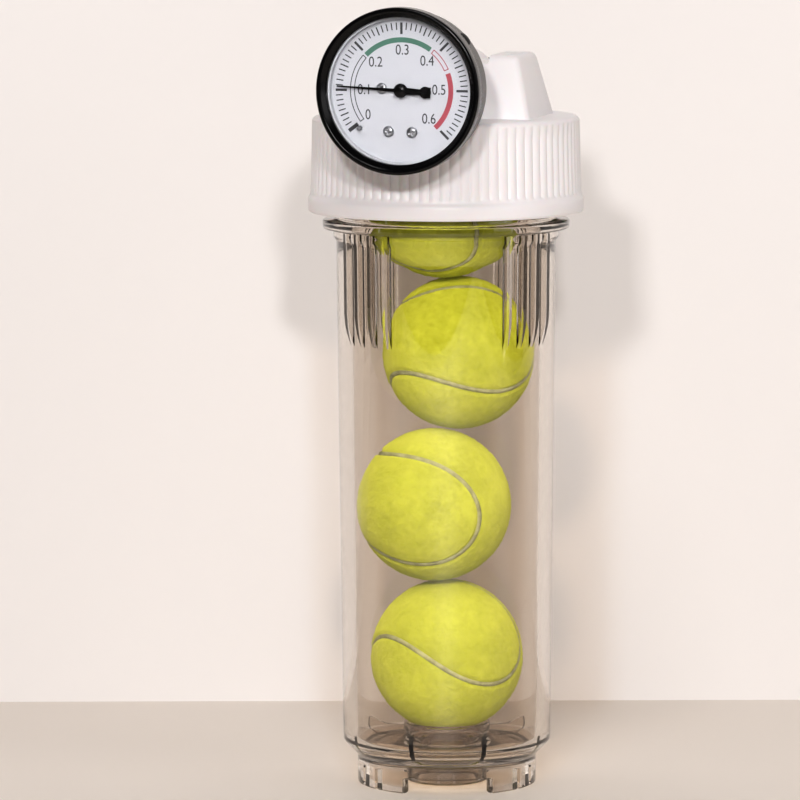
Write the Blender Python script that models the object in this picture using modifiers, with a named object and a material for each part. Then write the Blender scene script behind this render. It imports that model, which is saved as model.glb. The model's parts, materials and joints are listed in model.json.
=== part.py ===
"""Tennis ball pressurizer: a clear screw-top bottle that keeps four tennis balls under air pressure.

The white cap carries a 60 mm pressure gauge in its front port and a tyre valve in its rear port.
All sizes are in millimetres and are turned to metres by MM. The bottle stands on Z = 0 with its
axis on Z, the gauge faces -Y and the valve points along +Y.
"""
import math

import bmesh
import bpy
from mathutils import Matrix, Vector

MM = 0.001

# Bottle
RIM_Z = 277.2
NECK_R = 47.2
NECK_INNER_R = 40.6
COLLAR_R = 52.4
COLLAR_TOP_Z = 241.7
COLLAR_LOW_Z = 238.0
BODY_TOP_R = 46.7
BODY_LOW_R = 44.4
INNER_TOP_R = 40.3
INNER_LOW_R = 38.4
FOOT_R = 38.2
FOOT_INNER_R = 33.2
GAP_Z = 6.3
SLOT_Z = 8.8
FLOOR_Z = 17.0
SEAT_R = 18.4
SEAT_Z = 26.3
BASE_BOSS_R = 17.0
BOTTLE_TURN = math.radians(14)

# Wrench ribs below the collar
RIB_GROUPS = 4
RIBS_IN_GROUP = 4
RIB_PITCH = math.radians(9)
RIB_R = 49.6
RIB_THICK = 2.3

# Balls, bottom to top: how far each leans right and back in the bottle
BALL_R = 32.7
BALL_GAP = 0.25
BALL_LEANS = {"ball_4": (0.0, 0.0), "ball_3": (-5.2, -3.0), "ball_2": (5.4, 2.0), "ball_1": (-1.0, -4.0)}

# Cap
CAP_LOW_Z = 245.0
DECK_Z = 285.5
CAP_LOW_R = 58.5
CAP_TOP_R = 56.7
KNURL_LOW_R = 57.4
KNURL_LOW_Z = 252.8
GROOVES = 36
GROOVE_DEPTH = 0.7
SKIRT_INNER_R = 51.9
LAND_R = 48.3
CEILING_Z = 281.0
RECESS_R = 22.5
RECESS_Z = 289.5
BLOCK_BASE = (42.2, 25.0)
BLOCK_TOP = (35.3, 17.5)
BLOCK_Z = 312.0
VALLEY_Z = 308.5
PORT_Z = 300.5
PORT_R = 11.5
PORT_Y = 42.0
PORT_BORE_R = 6.9
PORT_DEPTH = 15.0

# Gauge, measured forward from the outside of the case's back
GAUGE_BACK_Y = 60.0
BEZEL_R = 34.3
BEZEL_FRONT = 26.0
VIEW_R = 30.3
CASE_R = 32.2
CASE_INNER_R = 30.6
CASE_DEPTH = 20.0
WINDOW_R = 32.2
DIAL_R = 30.2
DIAL_FACE = 17.0
SCREW_POINTS = {"dial_screw_left": (-5.5, -16.9), "dial_screw_right": (4.4, -17.2), "dial_screw_side": (-8.3, 0.8)}
ZERO_ANGLE = math.radians(217.5)
STOP_ANGLE = math.radians(221.4)
STOP_R = 23.5
NEEDLE_ANGLE = math.radians(176.5)
NEEDLE_TIP = 27.0
COUNTERWEIGHT = (9.2, 2.1)

# Movement: a 12 tooth pinion on the dial's axis and a slice of a 108 tooth sector
PINION_TEETH = 12
SECTOR_TEETH = 108
MODULE = 0.25
PINION_PITCH_R = PINION_TEETH * MODULE / 2
SECTOR_PITCH_R = SECTOR_TEETH * MODULE / 2
PIVOT_ANGLE = math.radians(240)
PIVOT = Vector((math.cos(PIVOT_ANGLE), math.sin(PIVOT_ANGLE))) * (PINION_PITCH_R + SECTOR_PITCH_R)
TAIL_ANGLE = math.radians(273.6)
TAIL_LENGTH = 5.5
TAIL = PIVOT + Vector((math.cos(TAIL_ANGLE), math.sin(TAIL_ANGLE))) * TAIL_LENGTH
TIP_PIN = Vector((17.5, -12.5))
TUBE_R = 22.5
TUBE_START = math.radians(225)
TUBE_END = math.radians(-25)
TIP_ANGLE = math.radians(-28)
PILLARS = {"pillar_left": (-7.0, 4.0), "pillar_right": (7.0, 4.0), "pillar_low": (6.0, -10.5)}

# Valve, measured outward from the rear port's mouth
VALVE_TIP = 41.0
VALVE_CAP_END = 44.0
VALVE_CAP_RIM = 34.6
HEX_FLATS = 17.0

for old in list(bpy.data.objects):
    bpy.data.objects.remove(old)

parts = bpy.data.collections.new("tennis_ball_pressurizer")
tools = bpy.data.collections.new("cutters")
for group in (parts, tools):
    bpy.context.scene.collection.children.link(group)


def finish(name, colour, roughness, metallic=0.0, alpha=1.0):
    """A Principled material of one colour."""
    made = bpy.data.materials.new(name)
    made.use_nodes = True
    made.diffuse_color = (*colour, alpha)
    shader = made.node_tree.nodes["Principled BSDF"]
    shader.inputs["Base Color"].default_value = (*colour, 1)
    shader.inputs["Roughness"].default_value = roughness
    shader.inputs["Metallic"].default_value = metallic
    shader.inputs["Alpha"].default_value = alpha
    return made


CLEAR = finish("clear_plastic", (0.72, 0.66, 0.60), 0.08, alpha=0.35)
WHITE = finish("white_plastic", (0.86, 0.84, 0.82), 0.45)
FELT = finish("yellow_felt", (0.55, 0.62, 0.07), 0.95)
RUBBER = finish("black_rubber", (0.02, 0.02, 0.02), 0.7)
BLACK = finish("black_gloss", (0.01, 0.01, 0.012), 0.2)
STEEL = finish("grey_painted_steel", (0.18, 0.17, 0.16), 0.4, 0.3)
DIAL = finish("white_dial_print", (0.82, 0.82, 0.84), 0.5)
BRASS = finish("brass", (0.62, 0.46, 0.18), 0.3, 1.0)
ZINC = finish("zinc_plated_steel", (0.55, 0.55, 0.56), 0.3, 1.0)
NICKEL = finish("nickel_plated_brass", (0.62, 0.60, 0.55), 0.25, 1.0)


def add(name, data, material, parent=None, turn=0.0):
    """An object in the parts collection, under its parent empty, turned about its own Z."""
    data.materials.append(material)
    made = bpy.data.objects.new(name, data)
    parts.objects.link(made)
    made.parent = parent
    made.rotation_euler.z = turn
    return made


def frame_at(name, place, tilt_x=0.0, turn_z=0.0):
    """An empty that carries the frame of one assembly."""
    empty = bpy.data.objects.new(name, None)
    parts.objects.link(empty)
    empty.location = Vector(place) * MM
    empty.rotation_euler = (tilt_x, 0, turn_z)
    return empty


def arc(centre_r, centre_h, radius, start, end, steps):
    """Points of an arc in a profile, with its angles in degrees."""
    angles = [math.radians(start + (end - start) * i / steps) for i in range(steps + 1)]
    return [(centre_r + radius * math.cos(a), centre_h + radius * math.sin(a)) for a in angles]


def circle(x, y, radius, count=12):
    """Points of a circle in an outline."""
    angles = [math.tau * i / count for i in range(count)]
    return [(x + radius * math.cos(a), y + radius * math.sin(a)) for a in angles]


def capsule(start, end, radius, count=7):
    """The outline of a bar with round ends."""
    start, end = Vector(start), Vector(end)
    lie = math.atan2(*(end - start).yx)
    outline = []
    for centre, first in ((end, lie - math.pi / 2), (start, lie + math.pi / 2)):
        angles = [first + math.pi * i / count for i in range(count + 1)]
        outline += [tuple(centre + radius * Vector((math.cos(a), math.sin(a)))) for a in angles]
    return outline


def turned(name, profile, material, parent=None, steps=32, ring=False):
    """A turned piece from its profile: radius and height, the outer side from top to bottom."""
    mesh = bpy.data.meshes.new(name)
    bm = bmesh.new()
    points = [bm.verts.new((radius * MM, 0, height * MM)) for radius, height in profile]
    for first, second in zip(points, points[1:]):
        bm.edges.new((first, second))
    if ring:
        bm.edges.new((points[-1], points[0]))
    bm.to_mesh(mesh)
    bm.free()
    made = add(name, mesh, material, parent)
    screw = made.modifiers.new("turn", "SCREW")
    screw.steps = steps
    screw.render_steps = steps
    screw.use_merge_vertices = True
    screw.merge_threshold = 0.000001
    return made


def outlined(name, loops, low, high, material, parent=None):
    """A flat piece between two heights, from its outline and the outlines of its holes."""
    data = bpy.data.curves.new(name, "CURVE")
    data.dimensions = "2D"
    data.fill_mode = "BOTH"
    data.extrude = (high - low) / 2 * MM
    for loop in loops:
        spline = data.splines.new("POLY")
        spline.points.add(len(loop) - 1)
        for point, (x, y) in zip(spline.points, loop):
            point.co = (x * MM, y * MM, 0, 1)
        spline.use_cyclic_u = True
    made = add(name, data, material, parent)
    made.location.z = (low + high) / 2 * MM
    return made


def as_mesh(curve):
    """The same piece as a welded mesh, which a Boolean can take."""
    bpy.context.view_layer.update()
    evaluated = curve.evaluated_get(bpy.context.evaluated_depsgraph_get())
    mesh = bpy.data.meshes.new_from_object(evaluated)
    bm = bmesh.new()
    bm.from_mesh(mesh)
    bmesh.ops.remove_doubles(bm, verts=bm.verts, dist=0.000001)
    bmesh.ops.recalc_face_normals(bm, faces=bm.faces)
    bm.to_mesh(mesh)
    bm.free()
    name, parent, basis = curve.name, curve.parent, curve.matrix_basis.copy()
    bpy.data.objects.remove(curve)
    made = bpy.data.objects.new(name, mesh)
    parts.objects.link(made)
    made.parent = parent
    made.matrix_basis = basis
    return made


def combine(piece, tool, operation):
    """Cuts the tool from the piece, or joins it on. The tool is kept as a hidden helper."""
    if tool.type == "CURVE":
        tool = as_mesh(tool)
    parts.objects.unlink(tool)
    tools.objects.link(tool)
    tool.name = f"{piece.name}_{operation.lower()}"
    tool.hide_render = True
    tool.display_type = "WIRE"
    boolean = piece.modifiers.new(tool.name, "BOOLEAN")
    boolean.operation = operation
    boolean.object = tool
    return piece


def repeated(name, one, angles, material, parent=None):
    """Copies of one closed piece's mesh round Z, as one tool."""
    mesh = bpy.data.meshes.new(name)
    bm = bmesh.new()
    for angle in angles:
        copy = one.copy()
        copy.transform(Matrix.Rotation(angle, 4, "Z"))
        bm.from_mesh(copy)
        bpy.data.meshes.remove(copy)
    bm.to_mesh(mesh)
    bm.free()
    return add(name, mesh, material, parent)


def box(name, low, high, material, parent=None, turn=0.0):
    """A box between two corners, turned about its parent's Z."""
    mesh = bpy.data.meshes.new(name)
    bm = bmesh.new()
    low, high = Vector(low), Vector(high)
    place = Matrix.Translation((low + high) / 2 * MM) @ Matrix.Diagonal((*((high - low) * MM), 1))
    bmesh.ops.create_cube(bm, size=1, matrix=place)
    bm.to_mesh(mesh)
    bm.free()
    return add(name, mesh, material, parent, turn)


def cylinder(name, radius, low, high, material, parent=None, centre=(0, 0), segments=16):
    """A cylinder along its parent's Z."""
    mesh = bpy.data.meshes.new(name)
    bm = bmesh.new()
    place = Matrix.Translation(Vector((*centre, (low + high) / 2)) * MM)
    bmesh.ops.create_cone(
        bm, cap_ends=True, segments=segments, radius1=radius * MM, radius2=radius * MM,
        depth=(high - low) * MM, matrix=place)
    bm.to_mesh(mesh)
    bm.free()
    return add(name, mesh, material, parent)


def standing_fin(name, profile, thickness, material):
    """The mesh of a fin that stands in the XZ plane, from its outline of radius and height."""
    flat = as_mesh(outlined(name, [profile], -thickness / 2, thickness / 2, material))
    mesh = flat.data
    mesh.transform(Matrix.Rotation(math.pi / 2, 4, "X"))
    bpy.data.objects.remove(flat)
    return mesh


def hexagon(flats):
    """The outline of a hexagon from its width across flats."""
    return circle(0, 0, flats / math.sqrt(3), 6)


def make_bottle(frame):
    """The sump: floor, seat ring, drafted wall, neck, collar, shoulder, foot ring and hollow base boss."""
    inside = [(0, FLOOR_Z), (SEAT_R - 2, FLOOR_Z), (SEAT_R - 2, SEAT_Z), (SEAT_R, SEAT_Z), (SEAT_R, FLOOR_Z)]
    inside += arc(INNER_LOW_R - 5, FLOOR_Z + 5, 5, -90, 0, 3)
    inside += [(INNER_TOP_R, COLLAR_LOW_Z), (NECK_INNER_R, RIM_Z)]
    neck = [(NECK_R - 0.7, RIM_Z), (NECK_R, RIM_Z - 0.8), (NECK_R, COLLAR_TOP_Z + 1.2)]
    neck += [(NECK_R + 1.2, COLLAR_TOP_Z), (COLLAR_R - 0.5, COLLAR_TOP_Z), (COLLAR_R, COLLAR_TOP_Z - 0.6)]
    neck += [(COLLAR_R, COLLAR_LOW_Z + 0.4), (COLLAR_R - 0.5, COLLAR_LOW_Z)]
    step = [(BODY_TOP_R + 1.2, COLLAR_LOW_Z), (BODY_TOP_R + 1.2, COLLAR_LOW_Z - 4)]
    wall = [(BODY_TOP_R, COLLAR_LOW_Z - 5), (BODY_LOW_R, 24)]
    shoulder = [(BODY_LOW_R - 0.1, 18.8), (BODY_LOW_R - 0.8, 17.4), (FOOT_R + 0.7, 12.7)]
    foot = [(FOOT_R, 12.0), (FOOT_R, 0.5), (FOOT_R - 0.5, 0), (FOOT_INNER_R, 0), (FOOT_INNER_R - 0.4, 12.4)]
    under = [(BASE_BOSS_R + 1, 12.8), (BASE_BOSS_R, 11.8), (BASE_BOSS_R, 0.9), (BASE_BOSS_R - 0.6, 0.3)]
    under += [(BASE_BOSS_R - 3, 0.3), (BASE_BOSS_R - 3.4, 12.8), (0, 12.8)]
    bottle = turned("bottle", inside + neck + step + wall + shoulder + foot + under, CLEAR, frame)

    rib = [(BODY_LOW_R, COLLAR_LOW_Z + 1), (RIB_R, COLLAR_LOW_Z + 1), (RIB_R, 208), (RIB_R - 0.6, 200)]
    rib += [(RIB_R - 2, 193.5), (BODY_TOP_R - 1.2, 188.5), (BODY_LOW_R, 188.5)]
    first = math.radians(45) - RIB_PITCH * (RIBS_IN_GROUP - 1) / 2
    angles = [
        math.tau * group / RIB_GROUPS + first + RIB_PITCH * number
        for group in range(RIB_GROUPS) for number in range(RIBS_IN_GROUP)]
    fin = standing_fin("rib", rib, RIB_THICK, CLEAR)
    combine(bottle, repeated("wrench_ribs", fin, angles, CLEAR, frame), "UNION")

    web = [(SEAT_R - 1, FLOOR_Z - 1), (INNER_LOW_R + 0.8, FLOOR_Z - 1), (INNER_LOW_R + 0.8, 29), (30, 23)]
    web += [(SEAT_R - 1, 23)]
    fin = standing_fin("web", web, 2.2, CLEAR)
    angles = [math.tau * (number + 0.5) / 8 for number in range(8)]
    combine(bottle, repeated("floor_webs", fin, angles, CLEAR, frame), "UNION")
    cut_foot(bottle, frame)


def cut_foot(bottle, frame):
    """Three wide gaps and, between them, lugs parted by narrow slots."""
    gap_half, slot_half, slot_at = 30.0, 1.5, 52.5
    starts = [(-gap_half, gap_half, GAP_Z)]
    for middle in (slot_at, -slot_at):
        starts.append((middle - slot_half, middle + slot_half, SLOT_Z))
    notches = []
    for low, high, top in starts:
        steps = max(1, round((high - low) / 8))
        outside = arc(0, 0, FOOT_R + 3, low - 90, high - 90, steps)
        within = arc(0, 0, FOOT_INNER_R - 3, high - 90, low - 90, steps)
        notches.append(as_mesh(outlined("notch", [outside + within], -2, top, CLEAR)))
    mesh = bpy.data.meshes.new("foot_notches")
    bm = bmesh.new()
    for notch in notches:
        for third in range(3):
            copy = notch.data.copy()
            copy.transform(Matrix.Rotation(math.tau * third / 3, 4, "Z") @ notch.matrix_basis)
            bm.from_mesh(copy)
            bpy.data.meshes.remove(copy)
        bpy.data.objects.remove(notch)
    bm.to_mesh(mesh)
    bm.free()
    combine(bottle, add("foot_notches", mesh, CLEAR, frame), "DIFFERENCE")


def make_balls(frame):
    """Four balls that lean on each other and on the wall, each a small gap above the one below."""
    mesh = bpy.data.meshes.new("ball")
    bm = bmesh.new()
    bmesh.ops.create_uvsphere(bm, u_segments=20, v_segments=11, radius=BALL_R * MM)
    bm.to_mesh(mesh)
    bm.free()
    mesh.materials.append(FELT)
    lift = math.sqrt(BALL_R ** 2 - (SEAT_R - 1.7) ** 2)
    place = Vector((0, 0, SEAT_Z + BALL_GAP + lift))
    for number, (name, lean) in enumerate(BALL_LEANS.items()):
        across = (Vector(lean) - place.xy).length
        if number:
            place.z += math.sqrt((2 * BALL_R + BALL_GAP) ** 2 - across ** 2)
        place.xy = lean
        ball = bpy.data.objects.new(name, mesh)
        parts.objects.link(ball)
        ball.parent = frame
        ball.location = place * MM


def make_seals():
    """The two O-rings, which the cap carries."""
    rings = {"rim_o_ring": (44.0, 1.6, RIM_Z + 1.9), "neck_o_ring": (48.95, 1.35, 272.9)}
    for name, (ring_r, section_r, height) in rings.items():
        section = arc(ring_r, height, section_r, 90, -198, 4)
        turned(name, section, RUBBER, ring=True)


def make_cap():
    """The screw cap: a turned shell with a knurl, the tapered block, the port barrel and its bores."""
    outside = [(0, DECK_Z + 0.5), (CAP_TOP_R - 3.4, DECK_Z)]
    outside += arc(CAP_TOP_R - 2.4, DECK_Z - 2.4, 2.4, 68, 0, 3)
    outside += [(KNURL_LOW_R, KNURL_LOW_Z), (CAP_LOW_R - 0.1, 250.8), (CAP_LOW_R, 246.4)]
    outside += [(CAP_LOW_R - 0.5, CAP_LOW_Z), (0, CAP_LOW_Z)]
    cap = turned("cap", outside, WHITE, steps=GROOVES)
    combine(cap, make_knurl(), "DIFFERENCE")

    (base_x, base_y), (top_x, top_y) = BLOCK_BASE, BLOCK_TOP
    block = box("block", (-base_x, -base_y, DECK_Z - 2), (base_x, base_y, BLOCK_Z), WHITE)
    for vertex in block.data.vertices:
        if vertex.co.z > DECK_Z * MM:
            vertex.co.x *= top_x / base_x
            vertex.co.y *= top_y / base_y
    bevel = block.modifiers.new("edges", "BEVEL")
    bevel.width = 2.5 * MM
    bevel.segments = 2
    valley = box("valley", (-23, -30, VALLEY_Z), (23, 30, BLOCK_Z + 5), WHITE)
    combine(block, valley, "DIFFERENCE")
    combine(cap, block, "UNION")

    dome = [(0, 294), (25.5, 294), (27, 292.5), (28.5, DECK_Z - 2), (0, DECK_Z - 2)]
    combine(cap, turned("dome", dome, WHITE), "UNION")
    combine(cap, box("port_web", (-7, -39, DECK_Z - 2), (7, 39, PORT_Z - 5), WHITE), "UNION")
    barrel = [(0, PORT_Y), (PORT_R - 1, PORT_Y), (PORT_R, PORT_Y - 1), (PORT_R, 1 - PORT_Y)]
    barrel += [(PORT_R - 1, -PORT_Y), (0, -PORT_Y)]
    barrel = turned("port_barrel", barrel, WHITE, port_frame, steps=24)
    combine(cap, barrel, "UNION")

    seat = [(0, RECESS_Z), (RECESS_R, RECESS_Z), (RECESS_R, CEILING_Z), (LAND_R, CEILING_Z)]
    groove = [(LAND_R, 274.6), (50.6, 274.6), (50.6, 271.2), (LAND_R, 271.2), (LAND_R, 268.6)]
    skirt = [(SKIRT_INNER_R, 266.6), (SKIRT_INNER_R, 246.6), (53.3, CAP_LOW_Z - 1), (0, CAP_LOW_Z - 1)]
    combine(cap, turned("hollow", seat + groove + skirt, WHITE), "DIFFERENCE")

    bore = [(0, PORT_Y + 1), (PORT_BORE_R, PORT_Y + 1), (PORT_BORE_R, PORT_Y - PORT_DEPTH), (4, PORT_Y - PORT_DEPTH)]
    bore += [(4, PORT_DEPTH - PORT_Y), (PORT_BORE_R, PORT_DEPTH - PORT_Y), (PORT_BORE_R, -PORT_Y - 1)]
    bore += [(0, -PORT_Y - 1)]
    combine(cap, turned("port_bore", bore, WHITE, port_frame, steps=16), "DIFFERENCE")
    combine(cap, cylinder("air_way", 4.6, RECESS_Z - 2, PORT_Z + 1, WHITE), "DIFFERENCE")
    for x in (-30, 30):
        for y in (-9, 9):
            hole = cylinder("bracket_hole", 1.9, BLOCK_Z - 14, BLOCK_Z + 2, WHITE, centre=(x, y), segments=8)
            combine(cap, hole, "DIFFERENCE")


def make_knurl():
    """The grooves between the fine grip ribs, each a three-sided bar that follows the skirt's draft."""
    run = DECK_Z - 3.4 - KNURL_LOW_Z
    draft = math.atan2(KNURL_LOW_R - CAP_TOP_R, DECK_Z - 3.6 - KNURL_LOW_Z)
    bar_r = 1.3
    middle_r = (KNURL_LOW_R + CAP_TOP_R) / 2 - GROOVE_DEPTH + bar_r
    mesh = bpy.data.meshes.new("knurl")
    bm = bmesh.new()
    for number in range(GROOVES):
        turn = Matrix.Rotation(math.tau * (number + 0.5) / GROOVES, 4, "Z")
        stand = Matrix.Translation(Vector((middle_r, 0, KNURL_LOW_Z + run / 2)) * MM)
        lean = Matrix.Rotation(-draft, 4, "Y")
        widen = Matrix.Diagonal((1, 2.1, 1, 1)) @ Matrix.Rotation(math.pi / 2, 4, "Z")
        bmesh.ops.create_cone(
            bm, cap_ends=True, segments=3, radius1=bar_r * MM, radius2=bar_r * MM,
            depth=run * MM, matrix=turn @ stand @ lean @ widen)
    bm.to_mesh(mesh)
    bm.free()
    return add("knurl", mesh, WHITE)


def make_gauge_shell(frame):
    """Case, bezel, window, gasket, spacer ring and vent plug."""
    case = [(CASE_R, CASE_DEPTH)]
    case += arc(CASE_R - 2.5, 2.5, 2.5, 0, -90, 2)
    case += [(5.8, 0), (5.8, 1.2)]
    case += arc(CASE_INNER_R - 1.6, 2.8, 1.6, -90, 0, 2)
    case += [(CASE_INNER_R, CASE_DEPTH)]
    case = turned("gauge_case", case, STEEL, frame, ring=True)
    vent = cylinder("vent_hole", 2.3, 25, 36, STEEL, vent_frame, segments=12)
    combine(case, vent, "DIFFERENCE")
    for x in (-9.5, 9.5):
        hole = cylinder("case_hole", 1.7, -2, 3, STEEL, frame, (x, 0), 12)
        combine(case, hole, "DIFFERENCE")

    bezel = [(33.2, BEZEL_FRONT), (34.0, 25.6), (BEZEL_R, 24.8), (BEZEL_R, 18.2), (33.8, 17.6), (32.6, 17.6)]
    bezel += [(32.6, 23.3), (VIEW_R, 23.3), (VIEW_R, 23.9), (31.9, 25.6), (32.5, BEZEL_FRONT)]
    turned("gauge_bezel", bezel, BLACK, frame, ring=True)
    window = [(0, 23.0), (WINDOW_R - 0.3, 23.0), (WINDOW_R, 22.7), (WINDOW_R, 21.4), (0, 21.4)]
    turned("gauge_window", window, CLEAR, frame)
    gasket = [(WINDOW_R, 21.1), (WINDOW_R, 20.3), (30.8, 20.3), (30.8, 21.1)]
    turned("window_gasket", gasket, RUBBER, frame, ring=True)
    spacer = [(DIAL_R, 21.1), (DIAL_R, 17.3), (29.5, 17.3), (29.5, 21.1)]
    turned("spacer_ring", spacer, DIAL, frame, ring=True)
    plug = [(0, 33.8), (1.6, 33.7), (2.8, 33.1), (3.0, 32.5), (2.0, 32.5), (2.0, 30.3), (2.7, 30.3)]
    plug += [(1.8, 29.2), (0, 29.2)]
    turned("vent_plug", plug, RUBBER, vent_frame, steps=12)


def make_dial(frame):
    """The dial with its screws, stop pin and needle."""
    stop = (STOP_R * math.cos(STOP_ANGLE), STOP_R * math.sin(STOP_ANGLE))
    loops = [circle(0, 0, DIAL_R, 32), circle(0, 0, 2.2, 12), circle(*stop, 1.1, 10)]
    loops += [circle(*point, 1.3, 10) for point in SCREW_POINTS.values()]
    outlined("dial_plate", loops, DIAL_FACE - 0.6, DIAL_FACE, DIAL, frame)
    pin = [(0, 20.2), (0.6, 20.2), (0.8, 20.0), (0.8, 16.1), (1.6, 16.1), (1.6, 15.4), (0, 15.4)]
    pin = turned("stop_pin", pin, ZINC, frame, steps=8)
    pin.location.xy = Vector(stop) * MM
    for name, (x, y) in SCREW_POINTS.items():
        screw = [(0, 18.2), (1.9, 18.2), (2.3, 17.9), (2.3, 17.3), (0.9, 17.3), (0.9, 13.0), (0, 13.0)]
        screw = turned(name, screw, ZINC, frame, steps=12)
        screw.location.xy = Vector((x, y)) * MM
        slot = box("slot", (-1.5, -0.3, 17.7), (1.5, 0.3, 19), ZINC, frame)
        cross = box("cross", (-0.3, -1.5, 17.7), (0.3, 1.5, 19), ZINC, frame)
        for cut in (slot, cross):
            cut.location.xy = screw.location.xy
            combine(screw, cut, "DIFFERENCE")

    weight_x, weight_r = COUNTERWEIGHT
    blade = [(-NEEDLE_TIP, -0.15), (-2, -1.0), (weight_x - 1.9, -0.9)]
    blade += arc(weight_x, 0, weight_r, -150, 150, 12)
    blade += [(weight_x - 1.9, 0.9), (-2, 1.0), (-NEEDLE_TIP, 0.15)]
    lie = NEEDLE_ANGLE - math.pi
    needle = as_mesh(outlined("needle", [blade], 18.6, 19.1, BLACK, frame))
    needle.rotation_euler.z = lie
    hub = [(0, 20.4), (1.8, 20.2), (2.7, 19.7), (2.95, 19.0), (2.95, 18.4), (0, 18.4)]
    combine(needle, turned("hub", hub, BLACK, frame, steps=16), "UNION")
    combine(needle, cylinder("hub_bore", 0.9, 18, 19.8, BLACK, frame, segments=12), "DIFFERENCE")


def gear_teeth(count, pitch_r, numbers, offset=0.0):
    """Corners of a gear's slim teeth round its own axis, for the given tooth numbers."""
    outline = []
    for number in numbers:
        middle = offset + number * math.tau / count
        for height, half in ((-0.32, -0.17), (0.2, -0.08), (0.2, 0.08), (-0.32, 0.17)):
            radius = pitch_r + height
            angle = middle + half / radius
            outline.append((radius * math.cos(angle), radius * math.sin(angle)))
    return outline


def make_movement(frame):
    """Socket, tube and tip, link, sector, pinion, plates, pillars and hairspring."""
    shank = 0.6
    bore = 0.95
    gears = gear_teeth(PINION_TEETH, PINION_PITCH_R, range(PINION_TEETH))
    shaft = [(0, 19.4), (shank, 19.4), (shank, 11.1), (1.0, 11.1), (1.0, 8.9), (shank, 8.9), (shank, 8.2)]
    shaft += [(1.1, 8.2), (1.1, 7.0), (shank, 7.0), (shank, 5.2), (0, 5.2)]
    shaft = turned("pinion_shaft", shaft, BRASS, frame, steps=8)
    combine(shaft, outlined("pinion", [gears], 9.1, 10.9, BRASS, frame), "UNION")

    step = math.tau / SECTOR_TEETH
    face = math.atan2(*(-PIVOT).yx)
    teeth = gear_teeth(SECTOR_TEETH, SECTOR_PITCH_R, range(-8, 5), face - step / 2)
    heel = [(-1.8, 1.2), (1.2, -1.8)]
    window = [tuple(6 * Vector((math.cos(a), math.sin(a)))) for a in (face - 0.25, face - 0.03)]
    window += [tuple(11 * Vector((math.cos(a), math.sin(a)))) for a in (face - 0.02, face - 0.27)]
    sector = as_mesh(outlined("sector_gear", [teeth + heel, window], 9.4, 10.6, BRASS, frame))
    sector.location.xy = PIVOT * MM
    hub = as_mesh(outlined("sector_hub", [circle(0, 0, 2.4)], 9.2, 10.8, BRASS, frame))
    tail = as_mesh(outlined("tail", [capsule((0, 0), TAIL - PIVOT, 1.4)], 9.4, 10.6, BRASS, frame))
    pin = cylinder("tail_pin", shank, 7.3, 10, BRASS, frame, TAIL - PIVOT, 10)
    hole = cylinder("arbor_hole", bore, 8, 12, BRASS, frame, segments=10)
    for piece, operation in ((hub, "UNION"), (tail, "UNION"), (pin, "UNION"), (hole, "DIFFERENCE")):
        piece.location.xy = PIVOT * MM
        combine(sector, piece, operation)
    arbor = [(0, 14.3), (shank, 14.3), (shank, 8.9), (1.6, 8.9), (1.6, 8.1), (shank, 8.1), (shank, 4.7), (0, 4.7)]
    turned("sector_arbor", arbor, ZINC, frame, steps=8).location.xy = PIVOT * MM

    eyes = [circle(*TAIL, 0.95, 10), circle(*TIP_PIN, 0.95, 10)]
    outlined("tip_link", [capsule(TAIL, TIP_PIN, 1.5), *eyes], 7.7, 8.5, BRASS, frame)
    make_tube(frame, shank)

    back = [(-9.5, 6.5), (9, 6.5), (9, -13.5), (-5.5, -16.5), (-10.5, -16.0)]
    front = [(-10.6, 6.5), (9, 6.5), (9, -14), (7, -19.6), (-8, -19.6), (-10.6, -16)]
    rivets = [circle(*point, 0.9, 10) for point in PILLARS.values()]
    pivots = [circle(0, 0, bore, 10), circle(*PIVOT, bore, 10)]
    outlined("movement_back_plate", [back, *rivets, *pivots], 5.0, 6.0, BRASS, frame)
    plate = as_mesh(outlined("movement_front_plate", [front, *rivets, *pivots], 13.0, 14.0, BRASS, frame))
    for point in SCREW_POINTS.values():
        post = cylinder("post", 2.2, 13.4, 16.1, BRASS, frame, point, 8)
        tapped = cylinder("tapped", 1.3, 12, 17, BRASS, frame, point, 8)
        combine(plate, post, "UNION")
        combine(plate, tapped, "DIFFERENCE")
    for name, point in PILLARS.items():
        pillar = [(0, 14.3), (shank, 14.3), (shank, 12.7), (1.6, 12.7), (1.6, 6.3), (shank, 6.3)]
        pillar += [(shank, 4.8), (0, 4.8)]
        turned(name, pillar, BRASS, frame, steps=8).location.xy = Vector(point) * MM

    coils, points_in_coil, wire = 4, 10, 0.14
    spiral = bpy.data.curves.new("hairspring", "CURVE")
    spiral.dimensions = "3D"
    spiral.bevel_depth = wire * MM
    spiral.bevel_resolution = 0
    spiral.use_fill_caps = True
    line = spiral.splines.new("POLY")
    line.points.add(coils * points_in_coil)
    for number, point in enumerate(line.points):
        angle = math.tau * number / points_in_coil
        radius = 1.6 + 0.95 * angle / math.tau
        point.co = (radius * math.cos(angle) * MM, radius * math.sin(angle) * MM, 7.6 * MM, 1)
    add("hairspring", spiral, BRASS, frame)


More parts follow.
